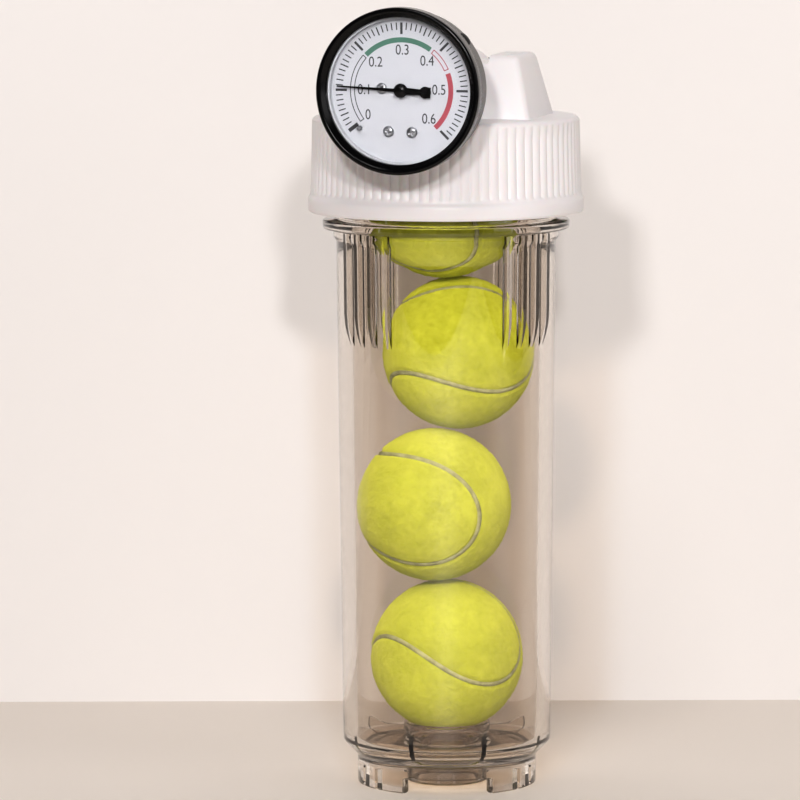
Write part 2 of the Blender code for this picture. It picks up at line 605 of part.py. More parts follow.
def make_tube(frame, pin_r):
    """The brass stem with its hexagon, arm and saddle, the curved tube and its moving tip."""
    inside = [(0, 4.6), (4.2, 4.6), (4.5, 4.3), (4.5, 3.9), (12, 3.9), (12, 1.5), (5.5, 1.5)]
    stem = [(5.5, -11), (5.8, -15.9), (5.8, -18.2), (6.55, -18.8), (6.55, -31.4), (5.9, -32.2), (0, -32.2)]
    socket = turned("gauge_socket", inside + stem, BRASS, frame, steps=16)
    combine(socket, outlined("socket_hex", [hexagon(HEX_FLATS)], -15.9, -6.9, BRASS, frame), "UNION")
    lie = math.radians(232)
    combine(socket, box("arm", (6, -3.5, 1.7), (24.9, 3.5, 4.2), BRASS, frame, lie), "UNION")
    combine(socket, box("saddle", (19.8, -2.5, 2), (25.2, 2.5, 12.4), BRASS, frame, lie), "UNION")
    hollow = [(0, 2), (1.6, 2), (1.6, -40), (0, -40)]
    combine(socket, turned("pressure_way", hollow, BRASS, frame, steps=12), "DIFFERENCE")
    for x, name in ((-9.5, "socket_screw_left"), (9.5, "socket_screw_right")):
        hole = cylinder("socket_hole", 1.25, 0, 5, BRASS, frame, (x, 0), 12)
        combine(socket, hole, "DIFFERENCE")
        screw = [(0, 3.6), (0.9, 3.6), (0.9, -0.3), (2.4, -0.3), (2.4, -1.2), (1.9, -1.7), (0, -1.7)]
        turned(name, screw, ZINC, frame, steps=12).location.x = x * MM

    mesh = bpy.data.meshes.new("bourdon_tube")
    bm = bmesh.new()
    section = [(TUBE_R - 1.5, 5.5), (TUBE_R - 1.2, 4.5), (TUBE_R + 1.2, 4.5), (TUBE_R + 1.5, 5.5)]
    section += [(TUBE_R + 1.5, 11.3), (TUBE_R + 1.2, 12.3), (TUBE_R - 1.2, 12.3), (TUBE_R - 1.5, 11.3)]
    corners = [bm.verts.new((radius * MM, 0, height * MM)) for radius, height in section]
    bm.faces.new(corners)
    bmesh.ops.rotate(bm, verts=bm.verts, matrix=Matrix.Rotation(TUBE_END, 3, "Z"))
    bmesh.ops.spin(
        bm, geom=bm.faces[:] + bm.edges[:] + bm.verts[:], axis=(0, 0, 1), angle=TUBE_START - TUBE_END,
        steps=20)
    bmesh.ops.recalc_face_normals(bm, faces=bm.faces)
    bm.to_mesh(mesh)
    bm.free()
    add("bourdon_tube", mesh, BRASS, frame)

    tip = box("tube_tip", (20.2, -0.7, 4.5), (24.8, 0.7, 12.3), BRASS, frame, TIP_ANGLE)
    arm = Vector((math.cos(TIP_ANGLE - 0.06), math.sin(TIP_ANGLE - 0.06))) * 21.5
    combine(tip, outlined("tongue", [capsule(arm, TIP_PIN, 1.4)], 9.2, 10.4, BRASS, frame), "UNION")
    combine(tip, cylinder("tip_pin", pin_r, 7.3, 9.8, BRASS, frame, TIP_PIN, 10), "UNION")


def make_port_seals():
    """The washers between each stem's hexagon and its port."""
    washer = [(9.3, 1.8), (9.3, 0.3), (7.1, 0.3), (7.1, 1.8)]
    turned("valve_port_seal", washer, RUBBER, valve_frame, steps=20, ring=True)
    turned("gauge_port_seal", washer, RUBBER, front_port_frame, steps=20, ring=True)


def make_valve(frame):
    """The tyre valve in the rear port: body, core, sprung pin, dust cap and the seal inside it."""
    body = [(3.55, VALVE_TIP), (3.85, 40.6), (3.85, 24.6), (3.4, 24.2), (3.4, 23.2), (4.8, 22.4), (4.8, 11)]
    body += [(5.6, 9.6), (5.6, 2.5), (5.9, 2.5), (5.9, -0.2), (6.55, -0.8), (6.55, -12.2), (5.9, -12.9)]
    body += [(2.0, -12.9), (2.0, 21.2), (2.6, 21.2), (2.6, VALVE_TIP)]
    body = turned("valve_body", body, NICKEL, frame, steps=16, ring=True)
    nut = outlined("valve_hex", [hexagon(HEX_FLATS), circle(0, 0, 4, 16)], 2.1, 9.9, NICKEL, frame)
    combine(body, nut, "UNION")
    core = [(2.25, 39.5), (2.25, 24.0), (1.0, 24.0), (1.0, 32.7), (1.8, 32.7), (1.8, 39.5)]
    turned("valve_core", core, BRASS, frame, steps=12, ring=True)
    pin = [(0, 40.7), (0.6, 40.7), (0.6, 39.1), (1.5, 39.1), (1.5, 38.5), (0.6, 38.5), (0.6, 23.7)]
    pin += [(1.7, 23.7), (1.7, 22.2), (0, 22.2)]
    turned("valve_pin", pin, BRASS, frame, steps=8)

    coils, points_in_coil, low, high = 5, 8, 33.2, 38.0
    helix = bpy.data.curves.new("pin_spring", "CURVE")
    helix.dimensions = "3D"
    helix.bevel_depth = 0.18 * MM
    helix.bevel_resolution = 0
    helix.use_fill_caps = True
    line = helix.splines.new("POLY")
    line.points.add(coils * points_in_coil)
    for number, point in enumerate(line.points):
        angle = math.tau * number / points_in_coil
        height = low + (high - low) * number / (coils * points_in_coil)
        point.co = (1.2 * math.cos(angle) * MM, 1.2 * math.sin(angle) * MM, height * MM, 1)
    add("pin_spring", helix, ZINC, frame)

    cap = [(4.6, VALVE_CAP_END), (5.2, VALVE_CAP_END - 0.6), (5.2, VALVE_CAP_RIM + 0.3)]
    cap = [(0, VALVE_CAP_END), *cap, (4.9, VALVE_CAP_RIM), (4.15, VALVE_CAP_RIM)]
    cap += [(4.15, VALVE_CAP_END - 1.2), (0, VALVE_CAP_END - 1.2)]
    cap = turned("valve_cap", cap, BLACK, frame, steps=16)
    flute = cylinder("flute", 0.8, VALVE_CAP_RIM + 1.6, VALVE_CAP_END + 1, BLACK, centre=(5.7, 0), segments=8)
    angles = [math.tau * (number + 0.5) / 8 for number in range(8)]
    flutes = repeated("flutes", flute.data, angles, BLACK, frame)
    bpy.data.objects.remove(flute)
    combine(cap, flutes, "DIFFERENCE")
    seal = [(0, 42.5), (3.6, 42.5), (3.6, 41.3), (0, 41.3)]
    turned("valve_cap_seal", seal, RUBBER, frame, steps=16)


bottle_frame = frame_at("bottle_frame", (0, 0, 0), turn_z=BOTTLE_TURN)
port_frame = frame_at("port_frame", (0, 0, PORT_Z), tilt_x=-math.pi / 2)
valve_frame = frame_at("valve_frame", (0, PORT_Y, PORT_Z), tilt_x=-math.pi / 2)
front_port_frame = frame_at("front_port_frame", (0, -PORT_Y, PORT_Z), tilt_x=math.pi / 2)
gauge_frame = frame_at("gauge_frame", (0, -GAUGE_BACK_Y, PORT_Z), tilt_x=math.pi / 2)
vent_frame = frame_at("vent_frame", (0, 0, 10))
vent_frame.parent = gauge_frame
vent_frame.rotation_euler = (0, math.pi / 2, math.radians(40))
bpy.context.view_layer.update()

make_bottle(bottle_frame)
make_balls(bottle_frame)
make_seals()
make_cap()
make_gauge_shell(gauge_frame)
make_dial(gauge_frame)
make_movement(gauge_frame)
make_port_seals()
make_valve(valve_frame)
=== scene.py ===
# %% [markdown]
# # A tennis ball pressurizer, built around its CAD frame
# This is a clear filter-housing bottle with a white screw cap. Four tennis balls stand in it, a round
# gauge shows the air pressure, and a tyre valve at the back lets the air in. The CAD model gives every
# place and size. This lesson adds what CAD leaves out: smooth plastic, threads, print and felt.

# %% Load the frame
import math

import bmesh
import bpy
import numpy as np
from mathutils import Matrix, Quaternion, Vector, kdtree
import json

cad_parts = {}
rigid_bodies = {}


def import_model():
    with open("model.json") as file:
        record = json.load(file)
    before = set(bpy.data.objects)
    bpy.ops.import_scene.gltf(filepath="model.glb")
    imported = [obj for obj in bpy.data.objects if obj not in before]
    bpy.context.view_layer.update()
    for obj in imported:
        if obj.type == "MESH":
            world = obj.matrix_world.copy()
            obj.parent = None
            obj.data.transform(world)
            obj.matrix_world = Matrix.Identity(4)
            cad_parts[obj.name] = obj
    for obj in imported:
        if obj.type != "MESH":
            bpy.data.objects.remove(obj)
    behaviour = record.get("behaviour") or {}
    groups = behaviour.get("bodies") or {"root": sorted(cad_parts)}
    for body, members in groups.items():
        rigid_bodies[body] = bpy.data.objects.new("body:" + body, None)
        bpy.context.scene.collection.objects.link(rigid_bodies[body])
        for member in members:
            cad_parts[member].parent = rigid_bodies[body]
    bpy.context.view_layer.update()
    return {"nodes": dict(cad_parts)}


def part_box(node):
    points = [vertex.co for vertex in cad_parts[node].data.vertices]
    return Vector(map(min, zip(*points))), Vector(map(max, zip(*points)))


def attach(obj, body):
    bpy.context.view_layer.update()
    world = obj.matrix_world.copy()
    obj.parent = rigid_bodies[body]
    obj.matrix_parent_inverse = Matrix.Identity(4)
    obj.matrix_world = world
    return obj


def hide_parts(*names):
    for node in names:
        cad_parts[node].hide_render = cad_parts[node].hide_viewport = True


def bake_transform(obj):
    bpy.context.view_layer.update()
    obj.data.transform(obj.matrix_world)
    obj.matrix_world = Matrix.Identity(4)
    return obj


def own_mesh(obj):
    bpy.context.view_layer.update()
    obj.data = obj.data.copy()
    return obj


for old in list(bpy.data.objects):
    bpy.data.objects.remove(old)
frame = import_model()
nodes = frame["nodes"]
MM = 0.001
TURN = math.tau

# %% [markdown]
# ## Places that pieces share
# Three assemblies have axes of their own: the bottle is turned 14 degrees from the cap, the gauge looks
# along -Y and the valve along +Y. Each gets a matrix, so a piece can be modelled upright round its own
# Z axis and put in place at the end.

# %% Shared frames
PORT_HEIGHT = 300.5
PORT_REACH = 42
GAUGE_BACK = 60
BOTTLE_TURN = 14
TO_FRONT = Matrix.Rotation(math.pi / 2, 4, "X")
TO_BACK = Matrix.Rotation(-math.pi / 2, 4, "X")


def place_at(x, y, z):
    """A move, in millimetres."""
    return Matrix.Translation(Vector((x, y, z)) * MM)


def turn_by(degrees):
    """A turn round Z."""
    return Matrix.Rotation(math.radians(degrees), 4, "Z")


UPRIGHT = Matrix.Identity(4)
BOTTLE_FRAME = turn_by(BOTTLE_TURN)
GAUGE_FRAME = place_at(0, -GAUGE_BACK, PORT_HEIGHT) @ TO_FRONT
FRONT_PORT_FRAME = place_at(0, -PORT_REACH, PORT_HEIGHT) @ TO_FRONT
PORT_FRAME = place_at(0, 0, PORT_HEIGHT) @ TO_BACK
VALVE_FRAME = place_at(0, PORT_REACH, PORT_HEIGHT) @ TO_BACK
print("gauge frame origin:", tuple(round(c / MM, 1) for c in GAUGE_FRAME.translation))

# %% [markdown]
# ## The camera
# The photo was taken from over two metres away with a long lens: the foot's ellipse is rounder than
# the cap's, and how much rounder gives the distance. The gauge is seen a little from its left, which
# puts the camera 14 degrees round to the right, and the flat ellipses of the cap and foot put it about
# 7 degrees above the middle. A slight roll matches the bottle's lean in the frame.

# %% Camera
CAMERA_TURN = math.radians(14)
CAMERA_RISE = math.radians(6.62)
CAMERA_DISTANCE = 2.36
SENSOR = 36
PIXEL = 0.4261 * MM
FRAME_PIXELS = 800
AXIS_PIXEL = 446.3
AIM_HEIGHT = 164.1 * MM
ROLL = math.radians(0.15)


def linked(name, data):
    """A new object in the scene."""
    made = bpy.data.objects.new(name, data)
    bpy.context.scene.collection.objects.link(made)
    return made


right = Vector((math.cos(CAMERA_TURN), math.sin(CAMERA_TURN), 0))
back = Vector((
    math.sin(CAMERA_TURN) * math.cos(CAMERA_RISE), -math.cos(CAMERA_TURN) * math.cos(CAMERA_RISE),
    math.sin(CAMERA_RISE)))
camera = linked("camera", bpy.data.cameras.new("camera"))
bpy.context.scene.camera = camera
camera.data.sensor_width = SENSOR
camera.data.lens = SENSOR * CAMERA_DISTANCE / (PIXEL * FRAME_PIXELS)
camera.data.clip_start = 0.1
camera.data.clip_end = 50
aim = Vector((0, 0, AIM_HEIGHT)) - right * (AXIS_PIXEL - FRAME_PIXELS / 2) * PIXEL
camera.location = aim + back * CAMERA_DISTANCE
camera.rotation_mode = "QUATERNION"
camera.rotation_quaternion = back.to_track_quat("Z", "Y") @ Quaternion((0, 0, 1), -ROLL)
print("lens in mm:", round(camera.data.lens, 1))

# %% [markdown]
# ## Tools for materials
# Colours are read off real finishes as sRGB hex values, but shaders work in linear light, so one
# function turns one into the other. Another adds any node with its settings, values and links. Noise
# scales are in cycles per metre, so 1000 draws a grain of one millimetre.

# %% Material tools
def linear(code):
    """Linear RGBA from an sRGB hex value."""
    channels = [(code >> shift & 255) / 255 for shift in (16, 8, 0)]
    return (*[c / 12.92 if c <= 0.04045 else ((c + 0.055) / 1.055) ** 2.4 for c in channels], 1.0)


def feed(source, node, socket):
    """Links an output, or a node's first output, to a node's socket. Its id_data is the node tree."""
    if isinstance(source, bpy.types.Node):
        source = source.outputs[0]
    node.id_data.links.new(source, node.inputs[socket])


def add_node(material, kind, values=None, links=None, **settings):
    """Adds one node: its settings, its sockets' values and the sockets that feed it."""
    node = material.node_tree.nodes.new(kind)
    for key, value in settings.items():
        setattr(node, key, value)
    for socket, value in (values or {}).items():
        node.inputs[socket].default_value = value
    for socket, source in (links or {}).items():
        feed(source, node, socket)
    return node


def new_finish(name, **values):
    """A material with one Principled shader, and that shader."""
    material = bpy.data.materials.new(name)
    material.use_nodes = True
    shader = material.node_tree.nodes["Principled BSDF"]
    for socket, value in values.items():
        shader.inputs[socket.replace("_", " ")].default_value = value
    return material, shader


print("middle grey in linear light:", round(linear(0x808080)[0], 3))

# %% [markdown]
# ## The stage
# A pale table runs back to a pale wall 200 mm behind the bottle. Clear plastic shows what is around it,
# so the wall matters: its glow comes through the bottle and its lower edge shows through the foot. Both
# are see-through from their far side, so they never hide the object in a view from behind or below.

# %% Floor and wall
WALL_DISTANCE = 0.2
TABLE_SIZE, WALL_WIDTH, WALL_HEIGHT = 3, 6, 4
TABLE_DROP = 0.05
WALL_OVERLAP = 0.01


def one_sided(name, colour, rough):
    """A plain paint that is see-through from behind."""
    material, shader = new_finish(name, Base_Color=linear(colour), Roughness=rough)
    clear = add_node(material, "ShaderNodeBsdfTransparent")
    side = add_node(material, "ShaderNodeNewGeometry")
    mixed = add_node(material, "ShaderNodeMixShader", links={
        0: side.outputs["Backfacing"], 1: shader, 2: clear})
    feed(mixed, material.node_tree.nodes["Material Output"], 0)
    return material


def as_mesh(name, bm):
    """A mesh from a bmesh, which is freed."""
    mesh = bpy.data.meshes.new(name)
    bm.to_mesh(mesh)
    bm.free()
    return mesh


def stage_plane(name, width, depth, at, material):
    """A flat sheet of the studio."""
    bm = bmesh.new()
    bmesh.ops.create_grid(bm, x_segments=1, y_segments=1, size=0.5)
    bm.transform(at @ Matrix.Diagonal((width, depth, 1, 1)))
    made = linked(name, as_mesh(name, bm))
    made.data.materials.append(material)


table_top = one_sided("table_laminate", 0xF1E9E0, 0.55)
wall_paint = one_sided("wall_paint", 0xF7F4F2, 0.9)
wall_at = Vector((-math.sin(CAMERA_TURN), math.cos(CAMERA_TURN), 0)) * WALL_DISTANCE
wall_at.z = WALL_HEIGHT / 2 - WALL_OVERLAP
stand_up = Matrix.Rotation(CAMERA_TURN, 4, "Z") @ TO_FRONT
stage_plane("table", TABLE_SIZE, TABLE_SIZE, place_at(0, 0, -TABLE_DROP), table_top)
stage_plane("wall", WALL_WIDTH, WALL_HEIGHT, Matrix.Translation(wall_at) @ stand_up, wall_paint)
print("the wall is behind the bottle by mm:", round(WALL_DISTANCE / MM))

# %% [markdown]
# ## Soft studio light
# Two lamps near the camera, one on each side of it, throw the cap's soft shadows on the wall to the
# right and left of the neck. A high panel in front shades the cap under the gauge, one on the right
# fills, and two tall dim strips show as lines on the bottle. Clear plastic lets shadow rays pass, so
# lamps are hidden from refracted rays: otherwise what stands behind the plastic would be lit twice. The
# room lights everything a little, and looks brighter where a camera sees it past the table's end.

# %% Lights
LIT_POINT = Vector((0, 0, 0.2))
ROOM_GLOW, ROOM_SEEN = 0.06, 0.7
lamps = {
    "left_lamp": ((0.197, -1.875, 0.868), (0.12, 0.12), 10),
    "right_lamp": ((0.555, -1.814, 0.835), (0.08, 0.08), 9),
    "top_light": ((0.1, -1.0, 1.5), (0.4, 0.4), 5),
    "side_light": ((1.5, -0.5, 0.6), (0.8, 0.8), 2.6),
    "left_strip": ((-1.2, -1.0, 0.35), (0.06, 1.0), 0.35),
    "right_strip": ((1.45, -0.35, 0.3), (0.06, 1.0), 0.35)}
for name, (where, size, watts) in lamps.items():
    panel = bpy.data.lights.new(name, "AREA")
    panel.shape = "RECTANGLE"
    panel.size, panel.size_y = size
    panel.energy = watts
    panel.color = linear(0xFFFCFC)[:3]
    lamp = linked(name, panel)
    lamp.location = where
    lamp.rotation_euler = (Vector(where) - LIT_POINT).to_track_quat("Z", "Y").to_euler()
    lamp.visible_transmission = False

room = bpy.data.worlds.new("room")
bpy.context.scene.world = room
room.use_nodes = True
glow = room.node_tree.nodes["Background"]
glow.inputs["Color"].default_value = linear(0xFFF4EA)
glow.inputs["Strength"].default_value = ROOM_GLOW
backdrop = add_node(room, "ShaderNodeBackground", {"Color": linear(0xFFF8F4), "Strength": ROOM_SEEN})
seen_or_lit = add_node(room, "ShaderNodeLightPath")
shown = add_node(room, "ShaderNodeMixShader", links={
    0: seen_or_lit.outputs["Is Camera Ray"], 1: glow, 2: backdrop})
feed(shown, room.node_tree.nodes["World Output"], 0)
bpy.context.scene.view_settings.view_transform = "Standard"
bpy.context.scene.view_settings.look = "Medium High Contrast"
print("lamps:", len(lamps), "with watts:", round(sum(lamp[2] for lamp in lamps.values()), 1))

# %% [markdown]
# ## Clear styrene for the bottle
# Filter bottles are injection moulded from clear SAN, a styrene plastic with an index of refraction of
# 1.57, polished by the mould, with a faint warm tint. Its thick wall bends what is behind it, so the
# wall has to be a real solid. Slow waves from the flow in the mould, about 17 mm wide and ten times as
# long, make reflections wander a little. Lamps reach the balls through a transparent shader, because
# glass shadows would be black without caustics. The gauge's window is clear acrylic, with no waves.

# %% Clear plastics
def clear_finish(name, tint, ior, rough, shade):
    """A refracting plastic that lets lamps through."""
    material, shader = new_finish(
        name, Base_Color=linear(tint), Roughness=rough, IOR=ior, Transmission_Weight=1.0)
    path = add_node(material, "ShaderNodeLightPath")
    film = add_node(material, "ShaderNodeBsdfTransparent", {"Color": linear(shade)})
    mixed = add_node(material, "ShaderNodeMixShader", links={
        0: path.outputs["Is Shadow Ray"], 1: shader, 2: film})
    feed(mixed, material.node_tree.nodes["Material Output"], 0)
    return material, shader


clear_styrene, styrene_shader = clear_finish("clear_moulded_styrene", 0xE6DFD7, 1.57, 0.02, 0xEFE8E0)
flow_at = add_node(clear_styrene, "ShaderNodeTexCoord").outputs["Object"]
flow = add_node(clear_styrene, "ShaderNodeMapping", {"Scale": (60, 60, 6)}, {"Vector": flow_at})
flow_noise = add_node(
    clear_styrene, "ShaderNodeTexNoise", {"Scale": 1.0, "Detail": 2.0}, {"Vector": flow})
flow_bump = add_node(
    clear_styrene, "ShaderNodeBump", {"Strength": 0.06, "Distance": 0.0004}, {"Height": flow_noise})
feed(flow_bump, styrene_shader, "Normal")
window_acrylic, _ = clear_finish("window_acrylic", 0xFDFDFD, 1.49, 0.0, 0xF8F8F8)
print("nodes in the styrene:", len(clear_styrene.node_tree.nodes))

# %% [markdown]
# ## White polypropylene for the cap
# The cap is moulded from white polypropylene. Light scatters a little under its surface, so its shadows
# are soft, its gloss is low, and the mould leaves a fine grain of about half a millimetre. White paint
# would look harder, so the light is let in, and one noise drives both the gloss and the bump.

# %% White polypropylene
white_pp, pp_shader = new_finish(
    "white_moulded_polypropylene", Base_Color=linear(0xEEEBEC), Roughness=0.42, IOR=1.49,
    Subsurface_Weight=0.15, Subsurface_Scale=0.003)
pp_at = add_node(white_pp, "ShaderNodeTexCoord").outputs["Object"]
pp_grain = add_node(white_pp, "ShaderNodeTexNoise", {"Scale": 2000.0, "Detail": 3.0}, {"Vector": pp_at})
pp_sheen = add_node(white_pp, "ShaderNodeMapRange", {"To Min": 0.36, "To Max": 0.5}, {"Value": pp_grain})
feed(pp_sheen, pp_shader, "Roughness")
pp_bump = add_node(
    white_pp, "ShaderNodeBump", {"Strength": 0.12, "Distance": 0.00008}, {"Height": pp_grain})
feed(pp_bump, pp_shader, "Normal")
print("nodes in the polypropylene:", len(white_pp.node_tree.nodes))

# %% [markdown]
# ## Felt for the balls
# The cover is a wool and nylon felt, dyed fluorescent yellow. Its nap lies in tufts about 3 mm wide,
# which gives soft lighter and darker patches of 20 mm and more, and its loose ends catch light at the
# rim. Hairs could be drawn one by one, but through thick plastic a noise and a sheen look the same.

# %% Felt
felt, felt_shader = new_finish(
    "yellow_wool_felt", Base_Color=linear(0xC9D838), Roughness=0.95, IOR=1.3, Diffuse_Roughness=1.0,
    Sheen_Weight=0.4, Sheen_Roughness=0.5, Sheen_Tint=linear(0xE2EC70))
felt_at = add_node(felt, "ShaderNodeTexCoord").outputs["Object"]
tufts = add_node(
    felt, "ShaderNodeTexNoise",
    {"Scale": 320.0, "Detail": 5.0, "Roughness": 0.7, "Distortion": 0.6}, {"Vector": felt_at})
patches = add_node(felt, "ShaderNodeTexNoise", {"Scale": 45.0, "Detail": 3.0}, {"Vector": felt_at})
tuft_share = add_node(felt, "ShaderNodeMath", {1: 0.55, 2: 0.22}, {0: tufts}, operation="MULTIPLY_ADD")
tone = add_node(
    felt, "ShaderNodeMath", {1: 0.45}, {0: patches, 2: tuft_share}, operation="MULTIPLY_ADD")
felt_colour = add_node(felt, "ShaderNodeValToRGB", links={0: tone})
felt_tones = ((0.45, 0xA8B428), (0.85, 0xD6E254))
for stop, (position, code) in zip(felt_colour.color_ramp.elements, felt_tones):
    stop.position = position
    stop.color = linear(code)
feed(felt_colour, felt_shader, "Base Color")
nap = add_node(felt, "ShaderNodeBump", {"Strength": 0.7, "Distance": 0.0009}, {"Height": tufts})
feed(nap, felt_shader, "Normal")
print("nodes in the felt:", len(felt.node_tree.nodes))

# %% [markdown]
# ## Rubber for their seams
# The halves of a cover meet in a line of rubber cement, grey-green and dull. It dries unevenly, so a
# noise through a colour ramp mottles it every 4 mm or so. One plain colour would look painted on.

# %% Seam rubber
seam_rubber, seam_shader = new_finish("seam_rubber_cement", Base_Color=linear(0xAEB48C), Roughness=0.8)
seam_at = add_node(seam_rubber, "ShaderNodeTexCoord").outputs["Object"]
seam_noise = add_node(
    seam_rubber, "ShaderNodeTexNoise", {"Scale": 260.0, "Detail": 4.0}, {"Vector": seam_at})
seam_colour = add_node(seam_rubber, "ShaderNodeValToRGB", links={0: seam_noise})
seam_tones = ((0.35, 0x979E74), (0.7, 0xC2C9A0))
for stop, (position, code) in zip(seam_colour.color_ramp.elements, seam_tones):
    stop.position = position
    stop.color = linear(code)
feed(seam_colour, seam_shader, "Base Color")
print("nodes in the seam rubber:", len(seam_rubber.node_tree.nodes))

# %% [markdown]
# ## Finishes of the gauge and the valve
# The bezel is stamped steel in gloss black paint and the case is the same in dark grey. The dial is
# aluminium in matt white, with screen-printed inks. Stem, movement and valve are turned brass, and the
# screws are zinc plated. Turned parts carry fine rings from the tool, and paint has a faint orange
# peel. Both are finer than a render can show, so they are drawn as a grain about a millimetre wide,
# just enough to break up a reflection.

# %% Paints, inks and metals
GLOSS_SPREAD = 0.06
GRAIN_HEIGHT = 0.0002


def surfaced(name, colour, rough, metal, grain, depth, **more):
    """A hard finish with a fine noise in its gloss and bump. The grain is in cycles per metre."""
    material, shader = new_finish(
        name, Base_Color=linear(colour), Roughness=rough, Metallic=metal, **more)
    where = add_node(material, "ShaderNodeTexCoord").outputs["Object"]
    noise = add_node(material, "ShaderNodeTexNoise", {"Scale": grain, "Detail": 3.0}, {"Vector": where})
    gloss = add_node(
        material, "ShaderNodeMapRange",
        {"To Min": rough - GLOSS_SPREAD, "To Max": rough + GLOSS_SPREAD}, {"Value": noise})
    feed(gloss, shader, "Roughness")
    bump = add_node(
        material, "ShaderNodeBump", {"Strength": depth, "Distance": GRAIN_HEIGHT}, {"Height": noise})
    feed(bump, shader, "Normal")
    return material


black_paint = surfaced("gloss_black_paint", 0x040405, 0.2, 0, 700, 0.05, Specular_IOR_Level=0.25)
grey_paint = surfaced("dark_grey_paint", 0x302E2C, 0.34, 0, 900, 0.06)
dial_white = surfaced("matt_white_dial_paint", 0x9EA0A5, 0.5, 0, 1500, 0.03)
black_ink = surfaced("black_screen_ink", 0x15171C, 0.5, 0, 1500, 0.02)
green_ink = surfaced("green_screen_ink", 0x2F5A4B, 0.5, 0, 1500, 0.02)
red_ink = surfaced("red_screen_ink", 0x86303C, 0.5, 0, 1500, 0.02)
brass = surfaced("turned_brass", 0xC8A45A, 0.24, 1, 1400, 0.05)
nickel = surfaced("nickel_plated_brass", 0xC9C2B2, 0.2, 1, 1200, 0.04)
zinc = surfaced("zinc_plated_steel", 0x9C9EA2, 0.3, 1, 1800, 0.06)
spring_bronze = surfaced("spring_bronze", 0xB07A4A, 0.3, 1, 2000, 0.03)
rubber = surfaced("nitrile_rubber", 0x1C1B1B, 0.62, 0, 1300, 0.1)
black_nylon = surfaced("black_moulded_nylon", 0x161617, 0.4, 0, 1600, 0.08)
print("materials made:", len(bpy.data.materials))

# %% [markdown]
# ## CAD nodes that stay
# The gauge's movement sits behind the dial: plates and pillars, a toothed sector that turns a pinion,
# a link, the tube's end piece and a hairspring. Two screws hold the case to the stem. Their CAD shapes
# are right, so they stay and only get a real finish.

# %% Finishes on the CAD nodes
kept = {
    brass: (
        "sector_gear", "pinion_shaft", "tip_link", "tube_tip", "movement_back_plate",
        "movement_front_plate", "pillar_left", "pillar_right", "pillar_low"),
    zinc: ("sector_arbor", "socket_screw_left", "socket_screw_right"),
    spring_bronze: ("hairspring",)}
for material, names in kept.items():
    for name in names:
        nodes[name].data.materials.clear()
        nodes[name].data.materials.append(material)
print("CAD nodes with a new finish:", sum(len(names) for names in kept.values()))

# %% [markdown]
# ## Turned forms
# Most of this object was moulded or turned, so most pieces are a profile spun round an axis. The spin
# operator makes the surface and merges its seam. A profile is a list of points, and its rounded corners
# and evenly divided runs come from two small functions.

# %% Profiles and spinning
SPIN_WELD = 0.002 * MM


def curve_points(centre_r, centre_z, radius, start, end, steps):
    """Points on an arc of a profile, with angles in degrees."""
    angles = np.radians(np.linspace(start, end, steps + 1))
    return [(centre_r + radius * math.cos(a), centre_z + radius * math.sin(a)) for a in angles]


def levels(start, end, count):
    """Evenly spaced profile points after the start, up to and with the end."""
    return [
        (start[0] + (end[0] - start[0]) * i / count, start[1] + (end[1] - start[1]) * i / count)
        for i in range(1, count + 1)]


def spun(profile, steps):
    """A closed turned form from (radius, height) in mm. Points that start off the axis make a ring."""
    bm = bmesh.new()
    points = [bm.verts.new((radius * MM, 0, height * MM)) for radius, height in profile]
    edges = [bm.edges.new(pair) for pair in zip(points, points[1:])]
    if profile[0][0]:
        edges.append(bm.edges.new((points[-1], points[0])))
    bmesh.ops.spin(
        bm, geom=points + edges, cent=(0, 0, 0), axis=(0, 0, 1), angle=TURN, steps=steps,
        use_merge=True)
    bmesh.ops.remove_doubles(bm, verts=bm.verts, dist=SPIN_WELD)
    bmesh.ops.recalc_face_normals(bm, faces=bm.faces)
    return bm


print("points on a rounded corner:", len(curve_points(0, 0, 1, 0, 90, 6)))

# %% [markdown]
# ## The bottle's wall
# The bottle is one moulding, so it becomes one closed solid: refraction is only right when light meets
# exactly one surface on the way in and one on the way out. The profile runs up the inside, over the rim
# and down the outside. It is spun in 120 steps of 3 degrees, which is also the width of a wrench rib.

# %% Bottle profile
STEPS = 120
COLUMN = TURN / STEPS
RIM_Z, NECK_R = 277.2, 47.2
WALL_LOW_R, WALL_LOW_Z = 44.4, 24
WALL_TOP_R, WALL_TOP_Z = 46.7, 233
STEP_WIDTH, STEP_LOW, STEP_HIGH = 1.2, 232.6, 234.4


def ramp(value, low, high):
    """0 below low, 1 above high and a smooth slope between."""
    share = min(1, max(0, (value - low) / (high - low)))
    return share * share * (3 - 2 * share)


def wall_radius(height):
    """The drafted outer wall, with the small step ring under the collar."""
    draft = (WALL_TOP_R - WALL_LOW_R) * (height - WALL_LOW_Z) / (WALL_TOP_Z - WALL_LOW_Z)
    return WALL_LOW_R + draft + STEP_WIDTH * ramp(height, STEP_LOW, STEP_HIGH)


